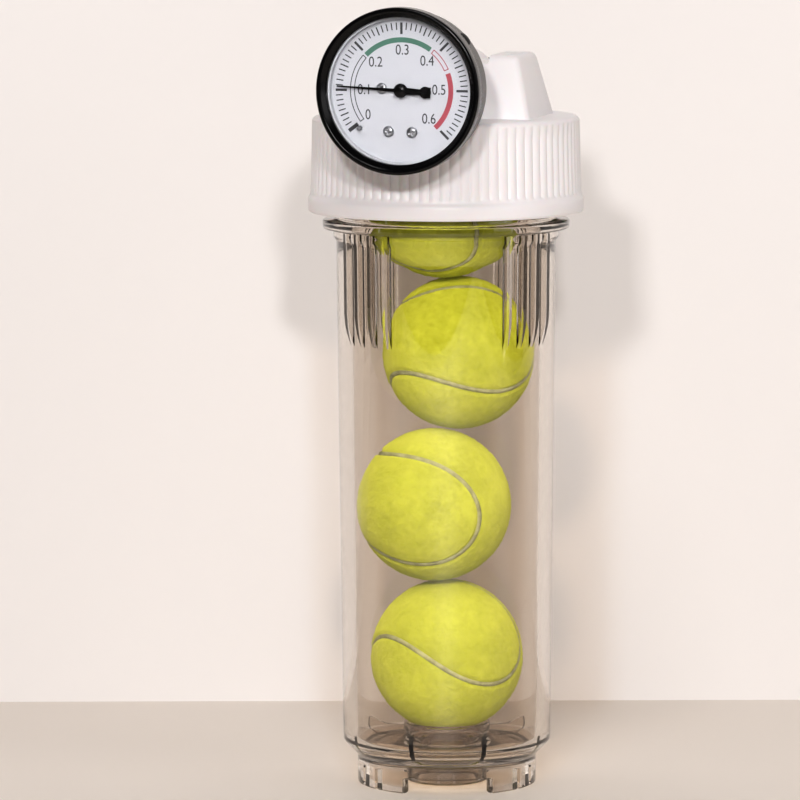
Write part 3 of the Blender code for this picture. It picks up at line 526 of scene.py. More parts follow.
inside = [
    (0, 17.0), (8, 17.0), (15.8, 17.0), (16.4, 17.6), (16.4, 25.8), (16.9, 26.3), (17.9, 26.3),
    (18.4, 25.8), (18.4, 20.5), (19.9, 17.3), (24, 17.0), (29, 17.0),
    *curve_points(33.4, 22, 5, -90, 0, 5),
    (38.5, 30), (39.0, 90), (39.7, 170), (40.3, 238), (40.45, 262), (40.6, RIM_Z - 0.6),
    (41.2, RIM_Z)]
neck = [
    (46.5, RIM_Z), *curve_points(46.5, RIM_Z - 0.7, 0.7, 75, 0, 2), (NECK_R, 268.5),
    *levels((NECK_R, 268.0), (NECK_R, 244.5), 84), (NECK_R, 243.0),
    *curve_points(48.4, 242.9, 1.2, 200, 270, 3)]
collar = [
    (51.6, 241.7), *curve_points(51.7, 241.0, 0.7, 60, 0, 2),
    *curve_points(51.7, 238.7, 0.7, 0, -60, 2), (51.2, 238.0), (48.1, 238.0)]
wall_levels = [
    237.5, 236, 234.4, 232.6, 225, 216, 208, 203, 199, 195.5, 192.5, 190, 188, 140, 80, 40, 26]
wall = [(wall_radius(z), z) for z in wall_levels]
shoulder = [
    (44.34, 19.6), (44.2, 18.8), (43.9, 18.1), (43.4, 17.5), (42.2, 16.2), (40.5, 14.5),
    (39.3, 13.3), (38.6, 12.5), (38.3, 11.9), (38.2, 11.2)]
foot = [(38.2, 8.8), (36.4, 8.8), (34.8, 8.8), (33.2, 8.8), (33.1, 11.8), (32.6, 12.4)]
under = [
    (26, 12.6), (18.6, 12.8), (17.4, 12.3), (17.0, 11.4), (17.0, 1.1), (16.8, 0.5), (16.3, 0.3),
    (14.2, 0.3), (13.8, 0.6), (13.6, 1.2), (13.5, 11.8), (12.8, 12.6), (0, 12.8)]
bottle_bm = spun(inside + neck + collar + wall + shoulder + foot + under, STEPS)
print("bottle wall points:", len(bottle_bm.verts))

# %% [markdown]
# ## Ribs for a wrench
# Four groups of ribs under the collar give a wrench its grip. Each rib is one column of wall faces,
# pulled out with the extrude operator and faded into the wall at its lower end, so the wall stays one
# clean surface and light still crosses it only twice.

# %% Pull out the ribs
RIB_LOW, RIB_FADE, RIB_TOP = 189, 15, 232
RIB_CREST_R, RIB_WALL_R = 49.6, 45.9
RIB_DEPTH = RIB_CREST_R - RIB_WALL_R
RIB_SINK = 0.3


def column_of(face):
    """The number of a face's column round the bottle."""
    centre = face.calc_center_median()
    return int((math.atan2(centre.y, centre.x) % TURN) / COLUMN)


def pull(bm, columns, chosen, move):
    """Extrudes the chosen faces of some columns and moves the new points."""
    picked = [f for f in bm.faces if column_of(f) in columns and chosen(f.calc_center_median() / MM)]
    grown = bmesh.ops.extrude_face_region(bm, geom=picked)["geom"]
    bmesh.ops.delete(bm, geom=picked, context="FACES")
    for vert in (g for g in grown if isinstance(g, bmesh.types.BMVert)):
        move(vert)


def rib_radius(height):
    """The rib's crest, which curves down into the wall."""
    share = 1 - (1 - min(1, max(0, (height - RIB_LOW) / RIB_FADE))) ** 2
    return wall_radius(min(height, RIB_TOP)) - RIB_SINK + RIB_DEPTH * share


def rib_out(vert):
    """Moves a point out to the rib's crest."""
    out = rib_radius(vert.co.z / MM) * MM
    vert.co.xy *= max(out, vert.co.xy.length + 0.02 * MM) / vert.co.xy.length


rib_columns = {30 * group + number for group in range(4) for number in (10, 13, 16, 19)}
pull(bottle_bm, rib_columns, lambda c: c.xy.length > 44 and 190 < c.z < 237.4, rib_out)
print("ribs:", len(rib_columns))

# %% [markdown]
# ## Webs in the floor and lugs on the foot
# Eight webs stiffen the floor inside, and the foot stands on castellated lugs that a holder can grip.
# Both are pulled from the floor and from the foot in the way the ribs were.

# %% Pull out the webs and lugs
SEAT_RING_R, WEB_FOOT_R, WEB_FOOT_Z = 19, 18.9, 22.6
FLOOR_R, WEB_Z, WEB_RISE = 37.9, 23, 2.5
SKIRT_BASE, SKIRT_Z = 8.8, 6.3


def web_up(vert):
    """Lifts a point of the floor to a web that climbs towards the wall."""
    radius = vert.co.xy.length / MM
    if radius < SEAT_RING_R:
        vert.co.xy *= WEB_FOOT_R / radius
        vert.co.z = WEB_FOOT_Z * MM
    else:
        vert.co.xy *= min(1, FLOOR_R / radius)
        vert.co.z = max(vert.co.z, (WEB_Z + WEB_RISE * ramp(radius, 28, 38)) * MM)


web_columns = {15 * number + 7 for number in range(8)}
pull(bottle_bm, web_columns, lambda c: 18.6 < c.xy.length < 38.3 and 16.5 < c.z < 21.5, web_up)
thirds = [90 + 40 * third for third in range(3)]
slots = {(start + number) % STEPS for start in thirds for number in (17, 22)}
lugs = {(start + number) % STEPS for start in thirds for number in range(10, 30)} - slots
skirt = set(range(STEPS)) - slots
for columns, from_z, to_z in ((skirt, SKIRT_BASE, SKIRT_Z), (lugs, SKIRT_Z, 0)):
    pull(
        bottle_bm, columns, lambda c: 33.3 < c.xy.length < 38.1 and abs(c.z - from_z) < 0.01,
        lambda vert: setattr(vert.co, "z", to_z * MM))
print("webs:", len(web_columns), "columns in lugs:", len(lugs))

# %% [markdown]
# ## From a bmesh to a piece of the object
# Every piece has to ride on a CAD body, stand for its CAD node and carry a finish. One function does all
# of it, so no step is forgotten. Edges sharper than a limit stay crisp and the rest is shaded smooth.

# %% Piece tool
def piece(name, bm, material, body, stands_for=(), at=UPRIGHT, crisp=32):
    """Makes the object, puts its place in its mesh, attaches it to its body and hides the CAD nodes it
    stands for. A piece given no body is left unattached.
    """
    bm.transform(at)
    mesh = as_mesh(name, bm)
    mesh.materials.append(material)
    mesh.polygons.foreach_set("use_smooth", [True] * len(mesh.polygons))
    mesh.set_sharp_from_angle(angle=math.radians(crisp))
    made = linked(name, mesh)
    if body:
        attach(made, body)
    if stands_for:
        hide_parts(*stands_for)
    return made


def triangles(made):
    """How many triangles an object has."""
    return sum(len(p.vertices) - 2 for p in made.data.polygons)


print("CAD nodes to stand for:", len(nodes))

# %% [markdown]
# ## The bottle's thread
# The thread climbs the neck by six millimetres in each turn. A swept tooth would have to be joined to
# the wall, so the neck's own points are pressed out along the radius instead, by one formula.

# %% Thread on the neck
THREAD_LEAD, THREAD_LOW, THREAD_HIGH = 6.0, 246.5, 265.5
THREAD_DEPTH = 3.2


def press(bm, move):
    """Moves each point along its radius by move(turn, height, radius), all in mm and radians."""
    for vert in bm.verts:
        radius = vert.co.xy.length / MM
        if radius > 0.01:
            turn = math.atan2(vert.co.y, vert.co.x) % TURN
            vert.co.xy *= 1 + move(turn, vert.co.z / MM, radius) / radius


def bottle_thread(turn, height, radius):
    """A rounded ridge that climbs the neck for three turns."""
    if abs(radius - NECK_R) > 0.05 or not 244 < height < 268.2:
        return 0
    across = abs((height - THREAD_LEAD * turn / TURN) % THREAD_LEAD - THREAD_LEAD / 2)
    low_end = ramp(height, THREAD_LOW - 1, THREAD_LOW + 1)
    ends = low_end * (1 - ramp(height, THREAD_HIGH - 1, THREAD_HIGH + 1))
    return THREAD_DEPTH * (1 - ramp(across, 0.5, 1.7)) * ends


press(bottle_bm, bottle_thread)
print("turns of thread:", round((THREAD_HIGH - THREAD_LOW) / THREAD_LEAD, 1))

# %% [markdown]
# ## The foot's edges
# A mould can't leave a sharp edge, so the lugs' lower edges are rounded with the bevel operator. Then
# the bottle is whole and becomes a piece.

# %% Finish the bottle
def soften(bm, edges, width, segments=2):
    """Rounds edges over by a width in mm."""
    bmesh.ops.bevel(
        bm, geom=edges, offset=width * MM, offset_type="OFFSET", affect="EDGES", segments=segments,
        profile=0.5, material=-1, clamp_overlap=True)


feet = [
    e for e in bottle_bm.edges
    if max(v.co.z for v in e.verts) < 0.01 * MM and min(v.co.xy.length for v in e.verts) > 30 * MM
    and any(abs(f.normal.z) < 0.5 for f in e.link_faces)]
soften(bottle_bm, feet, 0.6)
bottle = piece(
    "clear_bottle", bottle_bm, clear_styrene, "bottle", ["bottle"], BOTTLE_FRAME, 38)
print("bottle triangles:", triangles(bottle))

# %% [markdown]
# ## Where the balls lie
# Each ball rests on the one below and leans against the wall, so the stack zigzags. The places come
# from the same rule as in the CAD: a centre lies one ball's width from the last.

# %% Ball places
BALL_R, BALL_GAP = 32.7, 0.25
SEAT_Z, SEAT_CONTACT_R = 26.3, 16.7
leans = {
    "ball_4": (0.0, 0.0), "ball_3": (-5.2, -3.0), "ball_2": (5.4, 2.0), "ball_1": (-1.0, -4.0)}
spot = Vector((0, 0, SEAT_Z + BALL_GAP + math.sqrt(BALL_R ** 2 - SEAT_CONTACT_R ** 2)))
ball_spots = {}
for name, lean in leans.items():
    across = (Vector(lean) - spot.xy).length
    if ball_spots:
        spot.z += math.sqrt((2 * BALL_R + BALL_GAP) ** 2 - across ** 2)
    spot.xy = lean
    ball_spots[name] = BOTTLE_FRAME @ (spot * MM)
    low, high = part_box(name)
    off = ((low + high) / 2 - ball_spots[name]).length / MM
    print(name, "is off its CAD place by mm:", round(off, 2))

# %% [markdown]
# ## The balls' seam
# A ball's seam is one closed curve over the whole sphere. It has a neat formula with two sines, scaled
# so that it runs on the surface. Each ball is turned so that its seam crosses the front as it does in
# the photo, and the turn is given in the camera's own directions.

# %% Seam curve
SEAM_WAVE = 0.25
SEAM_POINTS = 240
seam_path = []
for turn in np.linspace(0, TURN, SEAM_POINTS, endpoint=False):
    seam_path.append(Vector((
        (1 - SEAM_WAVE) * math.cos(turn) + SEAM_WAVE * math.cos(3 * turn),
        (1 - SEAM_WAVE) * math.sin(turn) - SEAM_WAVE * math.sin(3 * turn),
        2 * math.sqrt(SEAM_WAVE * (1 - SEAM_WAVE)) * math.sin(2 * turn))))
seam_tree = kdtree.KDTree(len(seam_path))
for number, point in enumerate(seam_path):
    seam_tree.insert(point, number)
seam_tree.balance()
up_in_view = back.cross(right).normalized()
view_basis = Matrix((right, up_in_view, back)).transposed()
ball_turns = {
    "ball_1": Quaternion((0.37, 0.60, -0.20, 0.68)),
    "ball_2": Quaternion((0.3427, 0.4794, -0.3641, -0.7212)),
    "ball_3": Quaternion((-0.5544, 0.3446, 0.7534, -0.0793)),
    "ball_4": Quaternion((-0.6153, 0.6279, 0.393, -0.2695))}
print("seam points:", len(seam_path))

# %% [markdown]
# ## The balls' felt cover
# The felt is a cube divided many times and blown up to a sphere, which spreads its faces evenly, while
# a globe's faces would crowd at its poles. Points near the seam sink into a groove, and a little random
# height over the rest stands for fluff.

# %% Felt cover
COVER_CUTS = 55
COVER_SINK, GROOVE_DEPTH, FLUFF = 0.25, 0.9, 0.11


def ball_cover(seed):
    """A fluffy sphere with the seam's groove, of radius BALL_R."""
    bm = bmesh.new()
    bmesh.ops.create_cube(bm, size=1.0)
    bmesh.ops.subdivide_edges(bm, edges=bm.edges[:], cuts=COVER_CUTS, use_grid_fill=True)
    random = np.random.default_rng(seed)
    for vert in bm.verts:
        away = Vector([math.tan(c * math.pi / 2) for c in vert.co]).normalized()
        gap = seam_tree.find(away)[2] * BALL_R
        groove = GROOVE_DEPTH * (1 - ramp(gap, 0.9, 2.3))
        fluff = random.normal(0, FLUFF) * ramp(gap, 1.2, 2.4)
        vert.co = away * (BALL_R - COVER_SINK - groove + fluff) * MM
    bmesh.ops.recalc_face_normals(bm, faces=bm.faces)
    return bm


print("faces on a cover:", 6 * (COVER_CUTS + 1) ** 2)

# %% [markdown]
# ## The rubber bead
# A bead of rubber fills the groove. It is a curve with a round section, turned into a mesh, because a
# curve keeps its section square to a path that winds in three directions.

# %% Bead and balls
BEAD_R, BEAD_SINK = 1.15, 1.5
FINE_WELD = 0.001 * MM


def settled(made):
    """A bmesh of an object as its curve or its modifiers shape it. The object is removed."""
    depsgraph = bpy.context.evaluated_depsgraph_get()
    mesh = bpy.data.meshes.new_from_object(made.evaluated_get(depsgraph))
    bm = bmesh.new()
    bm.from_mesh(mesh)
    bmesh.ops.remove_doubles(bm, verts=bm.verts, dist=FINE_WELD)
    bpy.data.batch_remove((mesh, made, made.data))
    return bm


def seam_bead():
    """The rubber bead in the groove, a closed tube along the seam."""
    curve = bpy.data.curves.new("bead", "CURVE")
    curve.dimensions = "3D"
    curve.bevel_depth = BEAD_R * MM
    curve.bevel_resolution = 2
    line = curve.splines.new("POLY")
    line.points.add(len(seam_path) - 1)
    for point, away in zip(line.points, seam_path):
        point.co = (*(away.normalized() * (BALL_R - BEAD_SINK) * MM), 1)
    line.use_cyclic_u = True
    bm = settled(linked("bead", curve))
    bmesh.ops.recalc_face_normals(bm, faces=bm.faces)
    return bm


for seed, (name, place) in enumerate(ball_spots.items()):
    turned_to_view = view_basis.to_4x4() @ ball_turns[name].normalized().to_matrix().to_4x4()
    put = Matrix.Translation(place) @ turned_to_view
    piece(f"{name}_felt", ball_cover(seed), felt, name, [name], put, 60)
    piece(f"{name}_seam", seam_bead(), seam_rubber, name, (), put, 60)
print("balls made:", len(ball_spots))

# %% [markdown]
# ## The cap's shell
# The cap is a thick moulding with a plain flared band at its rim and fine rounded grip ribs above it.
# 504 steps give each of the 84 ribs six faces. The inside has a lead-in, a thread, a smooth land with
# an O-ring groove, and a round recess that clears the top ball. Separate ribs would each need joining,
# so the shell is spun once, and its grip and its thread are pressed in by formulas.

# %% Cap shell
GRIP_RIBS, FACES_PER_RIB = 84, 6
GRIP_DEPTH, GRIP_LOW, GRIP_HIGH = 0.85, 252.9, 284.6
CAP_THREAD_R, CAP_THREAD_DEPTH = 51.9, 3.0
cap_outer = [
    (0, 285.9), (20, 285.9), (40, 285.7), (53.2, 285.5), *curve_points(54.3, 283.1, 2.4, 84, 0, 6),
    *levels((56.72, 281.8), (57.38, 254.2), 6),
    (57.42, 253.4), (57.5, 252.6), (57.8, 251.9), (58.25, 251.2), (58.48, 250.4), (58.5, 249.4),
    (58.5, 246.4), (58.35, 245.6), (57.9, 245.1), (57.3, 245.0)]
cap_inner = [
    (53.3, 245.0), (52.9, 245.3), (51.9, 246.9),
    *levels((CAP_THREAD_R, 247.0), (CAP_THREAD_R, 267.0), 72),
    (48.5, 268.4), (48.3, 268.8), (48.3, 271.2), (50.6, 271.2), (50.6, 274.6), (48.3, 274.6),
    (48.3, 281.0), (0, 281.0)]


def grip(turn, height, radius):
    """Rounded ribs with narrow valleys, faded out at the top round and above the plain band."""
    if radius < 54 or not GRIP_LOW < height < 285:
        return 0
    rounded = abs(math.cos(turn * GRIP_RIBS / 2)) ** 0.7
    faded = GRIP_DEPTH * (rounded - 1) * ramp(height, GRIP_LOW, 254.6)
    return faded * (1 - ramp(height, 281.6, GRIP_HIGH))


def cap_thread(turn, height, radius):
    """The thread in the cap, pressed inwards between the bottle's ridges."""
    if abs(radius - CAP_THREAD_R) > 0.05 or not 247 < height < 267:
        return 0
    across = abs((height - THREAD_LEAD * turn / TURN) % THREAD_LEAD)
    across = min(across, THREAD_LEAD - across)
    ends = ramp(height, 247.4, 249.4) * (1 - ramp(height, 264, 266.4))
    return -CAP_THREAD_DEPTH * (1 - ramp(across, 0.4, 1.5)) * ends


shell = spun([*cap_outer, *cap_inner], GRIP_RIBS * FACES_PER_RIB)
press(shell, grip)
press(shell, cap_thread)
print("cap shell points:", len(shell.verts))

# %% [markdown]
# ## Blocks, cylinders and fusing
# What isn't turned is mostly a block or a cylinder. Parts that were moulded in one shot are closed forms
# fused with exact Booleans, because no single operator joins a block to a round shell, and holes are
# cut last.

# %% Tools for fused forms
def prism(sides, radius, low, high, edge=0.0):
    """A closed prism or cylinder along Z, with rounded rims."""
    bm = bmesh.new()
    bmesh.ops.create_cone(
        bm, cap_ends=True, segments=sides, radius1=radius * MM, radius2=radius * MM,
        depth=(high - low) * MM, matrix=place_at(0, 0, (low + high) / 2))
    if edge:
        rims = [e for e in bm.edges if abs(e.verts[0].co.z - e.verts[1].co.z) < 1e-7]
        soften(bm, rims, edge)
    return bm


def block(low, high, edge=0.0, segments=2):
    """A box between two corners in mm, with rounded edges."""
    low, high = Vector(low), Vector(high)
    bm = bmesh.new()
    size = Matrix.Diagonal((*((high - low) * MM), 1))
    bmesh.ops.create_cube(bm, size=1, matrix=place_at(*((low + high) / 2)) @ size)
    if edge:
        soften(bm, bm.edges[:], edge, segments)
    return bm


def placed(bm, at):
    """The same bmesh, moved or turned."""
    bm.transform(at)
    return bm


def fused(base, *steps):
    """Joins on or cuts out closed forms, given as pairs of an operation and a bmesh."""
    body = linked("base", as_mesh("base", base))
    tools = []
    for operation, bm in steps:
        tool = linked("tool", as_mesh("tool", bm))
        tools.append(tool)
        cut = body.modifiers.new("fuse", "BOOLEAN")
        cut.solver = "EXACT"
        cut.operation = operation
        cut.object = tool
    whole = settled(body)
    bpy.data.batch_remove([*tools, *(tool.data for tool in tools)])
    return whole


trial = prism(6, 1, 0, 1)
print("faces of a hexagonal prism:", len(trial.faces))
trial.free()

# %% [markdown]
# ## The cap's block, barrel and bores
# Bosses that a wall bracket holds stand at both ends of a tapered block. A barrel through the block
# carries the two ports: the gauge screws into the front one and the valve into the rear one. All of it
# was moulded in one shot, so the forms are fused to the shell, and the holes cut last.

# %% Cap body
BRACKET_X, BRACKET_Y, BRACKET_HOLE_R = 30, 9, 1.9
pad_block = bmesh.new()
bmesh.ops.create_cube(
    pad_block, size=1,
    matrix=place_at(0, 0, 297.75) @ Matrix.Diagonal((84.4 * MM, 50 * MM, 28.5 * MM, 1)))
bmesh.ops.scale(
    pad_block, vec=(35.3 / 42.2, 17.5 / 25, 1), verts=[v for v in pad_block.verts if v.co.z > 0.3])
soften(pad_block, pad_block.edges[:], 2.5, 4)
barrel = [
    (0, 42), (10.2, 42), *curve_points(10.5, 41.0, 1.0, 80, 0, 4),
    *curve_points(10.5, -41.0, 1.0, 0, -80, 4), (10.2, -42), (0, -42)]
dome = [
    (0, 294), (25, 294), *curve_points(25.2, 292.3, 1.7, 80, 15, 4), (28.5, 283.5), (0, 283.5)]
bore = [
    (0, 43), (7.5, 43), (6.9, 41.4), (6.9, 27), (4, 26.6), (4, -26.6), (6.9, -27), (6.9, -41.4),
    (7.5, -43), (0, -43)]
recess = [(0, 289.5), (22.2, 289.5), (22.5, 289.2), (22.5, 281.8), (23.3, 280.5), (0, 280.5)]
steps = [
    ("UNION", pad_block), ("UNION", spun(dome, 128)),
    ("UNION", block((-7, -39, 283.5), (7, 39, 295.5), 1.0)),
    ("DIFFERENCE", spun(recess, 128)),
    ("DIFFERENCE", block((-23, -40, 308.5), (23, 40, 330), 1.2, 4)),
    ("UNION", placed(spun(barrel, 96), PORT_FRAME)),
    ("DIFFERENCE", placed(spun(bore, 64), PORT_FRAME)),
    ("DIFFERENCE", prism(48, 3.4, 287.5, PORT_HEIGHT))]
for x in (-BRACKET_X, BRACKET_X):
    for y in (-BRACKET_Y, BRACKET_Y):
        hole = placed(prism(32, BRACKET_HOLE_R, 298, 314), place_at(x, y, 0))
        steps.append(("DIFFERENCE", hole))
cap = piece("screw_cap", fused(shell, *steps), white_pp, "cap", ["cap"], crisp=35)
print("cap triangles:", triangles(cap))

# %% [markdown]
# ## Seals
# Two O-rings keep the air in: one is squeezed on the bottle's rim, and one round its neck. Flat washers
# seal the stems in their ports. An O-ring is a circle spun round an axis, the simplest ring there is,
# and every turned piece from here on is made by the same small function.

# %% Seals
def turned(name, profile, steps, material, body, node, at=UPRIGHT):
    """A turned piece that stands for one CAD node."""
    return piece(name, spun(profile, steps), material, body, [node], at)


for name, body, ring_r, section_r, height in (
        ("rim_o_ring", "rim_seal", 44.0, 1.6, 279.1), ("neck_o_ring", "neck_seal", 48.95, 1.35, 272.9)):
    circle = curve_points(ring_r, height, section_r, 0, 330, 11)
    turned(f"{name}_smooth", circle, 128, rubber, body, name)
washer = [
    (9.3, 1.7), (9.3, 0.4), (9.2, 0.3), (7.2, 0.3), (7.1, 0.4), (7.1, 1.7), (7.2, 1.8), (9.2, 1.8)]
for port, at in (("gauge", FRONT_PORT_FRAME), ("valve", VALVE_FRAME)):
    seal = turned(
        f"{port}_port_washer", washer, 64, rubber, "cap", f"{port}_port_seal", at)
print("triangles in a washer:", triangles(seal))

# %% [markdown]
# ## The gauge's shell
# The case is a cup pressed from steel sheet, open to the front, with a vent hole in its side and two
# screw holes in its back. The bezel is rolled round its lip. Both are turned.

# %% Case and bezel
SOCKET_SCREWS = (-9.5, 9.5)
VENT_TURN = 40
LEAN_OUT = Matrix.Rotation(math.pi / 2, 4, "Y")
VENT_FRAME = GAUGE_FRAME @ place_at(0, 0, 10) @ turn_by(VENT_TURN) @ LEAN_OUT
case = [
    (30.6, 20), (32.0, 20), (32.2, 19.8), *curve_points(29.7, 2.5, 2.5, 0, -90, 6), (5.8, 0),
    (5.8, 1.2), *curve_points(29, 2.8, 1.6, -90, 0, 4)]
case_cuts = [("DIFFERENCE", placed(prism(32, 2.3, 25, 36), GAUGE_FRAME.inverted() @ VENT_FRAME))]
for x in SOCKET_SCREWS:
    case_cuts.append(("DIFFERENCE", placed(prism(32, 1.7, -2, 3), place_at(x, 0, 0))))
piece(
    "pressed_case", fused(spun(case, 128), *case_cuts), grey_paint, "cap",
    ["gauge_case"], GAUGE_FRAME)
bezel = [
    (32.6, 17.6), (33.8, 17.6), (34.15, 17.8), (34.3, 18.2), *curve_points(33.2, 24.9, 1.1, 0, 90, 6),
    (32.6, 26.0), (32.3, 25.9), (32.0, 25.6), (30.9, 24.4), (30.4, 23.9), (30.3, 23.7),
    (30.3, 23.3), (32.6, 23.3)]
rim = turned("rolled_bezel", bezel, 160, black_paint, "cap", "gauge_bezel", GAUGE_FRAME)
print("bezel triangles:", triangles(rim))

# %% [markdown]
# ## The window and the vent plug
# The bezel holds an acrylic window, its rubber gasket and a white spacer ring. A rubber plug in the
# vent hole blows out if the tube ever leaks. All four are turned.

# %% Window, gasket, spacer and plug
window = [(0, 23), (31.9, 23), (32.2, 22.7), (32.2, 21.4), (0, 21.4)]
turned(
    "acrylic_window", window, 128, window_acrylic, "cap", "gauge_window", GAUGE_FRAME)
gasket = [(32.2, 21.1), (32.2, 20.3), (30.8, 20.3), (30.8, 21.1)]
turned("window_gasket_smooth", gasket, 128, rubber, "cap", "window_gasket", GAUGE_FRAME)
spacer = [(30.2, 21.1), (30.2, 17.3), (29.5, 17.3), (29.5, 21.1)]
turned(
    "spacer_ring_smooth", spacer, 128, dial_white, "cap", "spacer_ring",
    GAUGE_FRAME)
plug = [
    (0, 33.8), (1.2, 33.8), (2.1, 33.6), (2.8, 33.1), (3.0, 32.6), (2.9, 32.5), (2.0, 32.5),
    (2.0, 30.3), (2.7, 30.3), (2.6, 30.0), (1.8, 29.2), (0, 29.2)]
stopper = turned("blow_out_plug", plug, 48, rubber, "cap", "vent_plug", VENT_FRAME)
print("plug triangles:", triangles(stopper))

# %% [markdown]
# ## Ink on the dial
# The dial's marks are screen printed. A picture could show them, but ink stands a few hundredths of a
# millimetre proud of the plate and its edges have to stay sharp, so every mark is a thin solid: blocks
# turned round the middle and flat sectors swept round it.

# %% Bands and ticks
DIAL_FACE, INK = 17.0, 0.04
BAND_LOW, BAND_HIGH = 19.7, 21.8
BAND_LINES = ((19.7, 20.05), (21.45, 21.8))
TICK_END = 27.9


def section(points, start):
    """A flat face from points of (radius, height) in mm, turned to a start in degrees."""
    bm = bmesh.new()
    bm.faces.new([bm.verts.new((radius * MM, 0, height * MM)) for radius, height in points])
    bmesh.ops.rotate(bm, verts=bm.verts, matrix=Matrix.Rotation(math.radians(start), 3, "Z"))
    return bm


def swept(bm, angle, steps, rise=0.0):
    """Sweeps a flat face round Z into a closed solid, with a rise in mm in each step."""
    bmesh.ops.spin(
        bm, geom=bm.verts[:] + bm.edges[:] + bm.faces[:], axis=(0, 0, 1), angle=angle, steps=steps,
        dvec=(0, 0, rise * MM))
    bmesh.ops.recalc_face_normals(bm, faces=bm.faces)
    return bm


def sector(low_r, high_r, start, end):
    """A flat ring sector of ink between two angles in degrees."""
    top = DIAL_FACE + INK
    corners = [(low_r, DIAL_FACE), (high_r, DIAL_FACE), (high_r, top), (low_r, top)]
    steps = max(1, round(abs(end - start) / 2))
    return swept(section(corners, start), math.radians(end - start), steps)


def outline_band(start, end):
    """A hollow band: two arcs and two short ends."""
    ends = [sector(BAND_LOW, BAND_HIGH, angle, angle + 1) for angle in (start, end - 1)]
    return [*(sector(*line, start, end) for line in BAND_LINES), *ends]


def tick(angle, low_r, width):
    """A radial mark that ends at the scale's outer circle."""
    mark = block((low_r, -width / 2, DIAL_FACE), (TICK_END, width / 2, DIAL_FACE + INK))
    return placed(mark, turn_by(angle))


print("ink height in mm:", INK)

# %% [markdown]
# ## Numerals
# The numerals come from a font as solids of the ink's height. They are narrowed, because gauges use a
# condensed letter, and centred on their places.

# %% Numerals
NUMERAL_SIZE, NARROW = 6.0, 0.82


def numeral(text, x, y):
    """A condensed number, centred on a point of the dial."""
    font = bpy.data.curves.new("numeral", "FONT")
    font.body = text
    font.size = NUMERAL_SIZE * MM
    font.align_x = "CENTER"
    font.align_y = "CENTER"
    font.extrude = INK / 2 * MM
    bm = settled(linked("numeral", font))
    middle = sum((v.co for v in bm.verts), Vector()) / len(bm.verts)
    across = [v.co.x for v in bm.verts]
    centre = Vector(((min(across) + max(across)) / 2, middle.y, 0))
    narrow = Matrix.Diagonal((NARROW, 1, 1, 1))
    bm.transform(place_at(x, y, DIAL_FACE + INK / 2) @ narrow @ Matrix.Translation(-centre))
    bmesh.ops.recalc_face_normals(bm, faces=bm.faces)
    return bm


numeral_places = {
    "0": (-14.2, -9.9), "0.1": (-16.1, -0.2), "0.2": (-10.9, 11.6), "0.3": (0.3, 16.5),
    "0.4": (10.8, 11.8), "0.5": (15.7, -0.2), "0.6": (11.5, -11.9)}
print("numerals:", *numeral_places)

# %% [markdown]
# ## The dial's plate
# The plate is stamped from thin sheet. It is a flat ring, and its holes for three screws and the
# needle's stop are cut with cylinders.

# %% Dial plate
plate = spun([(30.2, 17.0), (30.2, 16.4), (2.2, 16.4), (2.2, 17.0)], 128)
screw_points = {
    "dial_screw_left": (-5.5, -16.9), "dial_screw_right": (4.4, -17.2),
    "dial_screw_side": (-8.3, 0.8)}
stop_turn = math.radians(221.4)
stop_point = (23.5 * math.cos(stop_turn), 23.5 * math.sin(stop_turn))
plate_holes = [(1.3, x, y) for x, y in screw_points.values()] + [(1.1, *stop_point)]
plate_cuts = [
    ("DIFFERENCE", placed(prism(24, radius, 15, 18), place_at(x, y, 0)))
    for radius, x, y in plate_holes]
dial = piece(
    "printed_dial", fused(plate, *plate_cuts), dial_white, "cap",
    ["dial_plate"], GAUGE_FRAME)
print("dial triangles:", triangles(dial))

# %% [markdown]
# ## The scale
# The scale runs from 0 to 0.6 megapascals over three quarters of a turn, with a mark for every
# hundredth. Bands show the working range in green and the limit in red. A loop turns each mark to its
# own angle, which is truer than marks placed by eye.

# %% Marks and bands
ZERO_ANGLE, DEGREES_PER_MARK = 217, 4.5


def joined(parts):
    """Several bmeshes in one."""
    whole = bmesh.new()
    for part in parts:
        mesh = as_mesh("part", part)
        whole.from_mesh(mesh)
        bpy.data.meshes.remove(mesh)
    return whole


marks = [tick(ZERO_ANGLE, 23.1, 1.6)]
for hundredth in range(3, 61):
    low_r, width = 24.9, 0.48
    if hundredth % 5 == 0:
        low_r, width = 24.3, 0.55
    if hundredth % 10 == 0:
        low_r, width = 23.1, 1.0
    marks.append(tick(180 - (hundredth - 10) * DEGREES_PER_MARK, low_r, width))
marks += outline_band(138, ZERO_ANGLE)
marks += [numeral(text, *where) for text, where in numeral_places.items()]
green = [sector(BAND_LOW, BAND_HIGH, 54, 136)]
red = [sector(BAND_LOW, BAND_HIGH, -47, 20), *outline_band(24, 51)]
for name, parts, ink in (
        ("black_scale", marks, black_ink), ("green_band", green, green_ink),
        ("red_bands", red, red_ink)):
    piece(name, joined(parts), ink, "cap", (), GAUGE_FRAME)
print("dial marks:", len(marks))

# %% [markdown]
# ## The needle
# The needle is stamped from thin sheet: a blade that tapers to its tip, a round hub and a heavier tail
# that balances it. Blocks narrowed at one end make the tapers, and fusing leaves one sheet. It points
# just past 0.1 at rest, as in the photo.

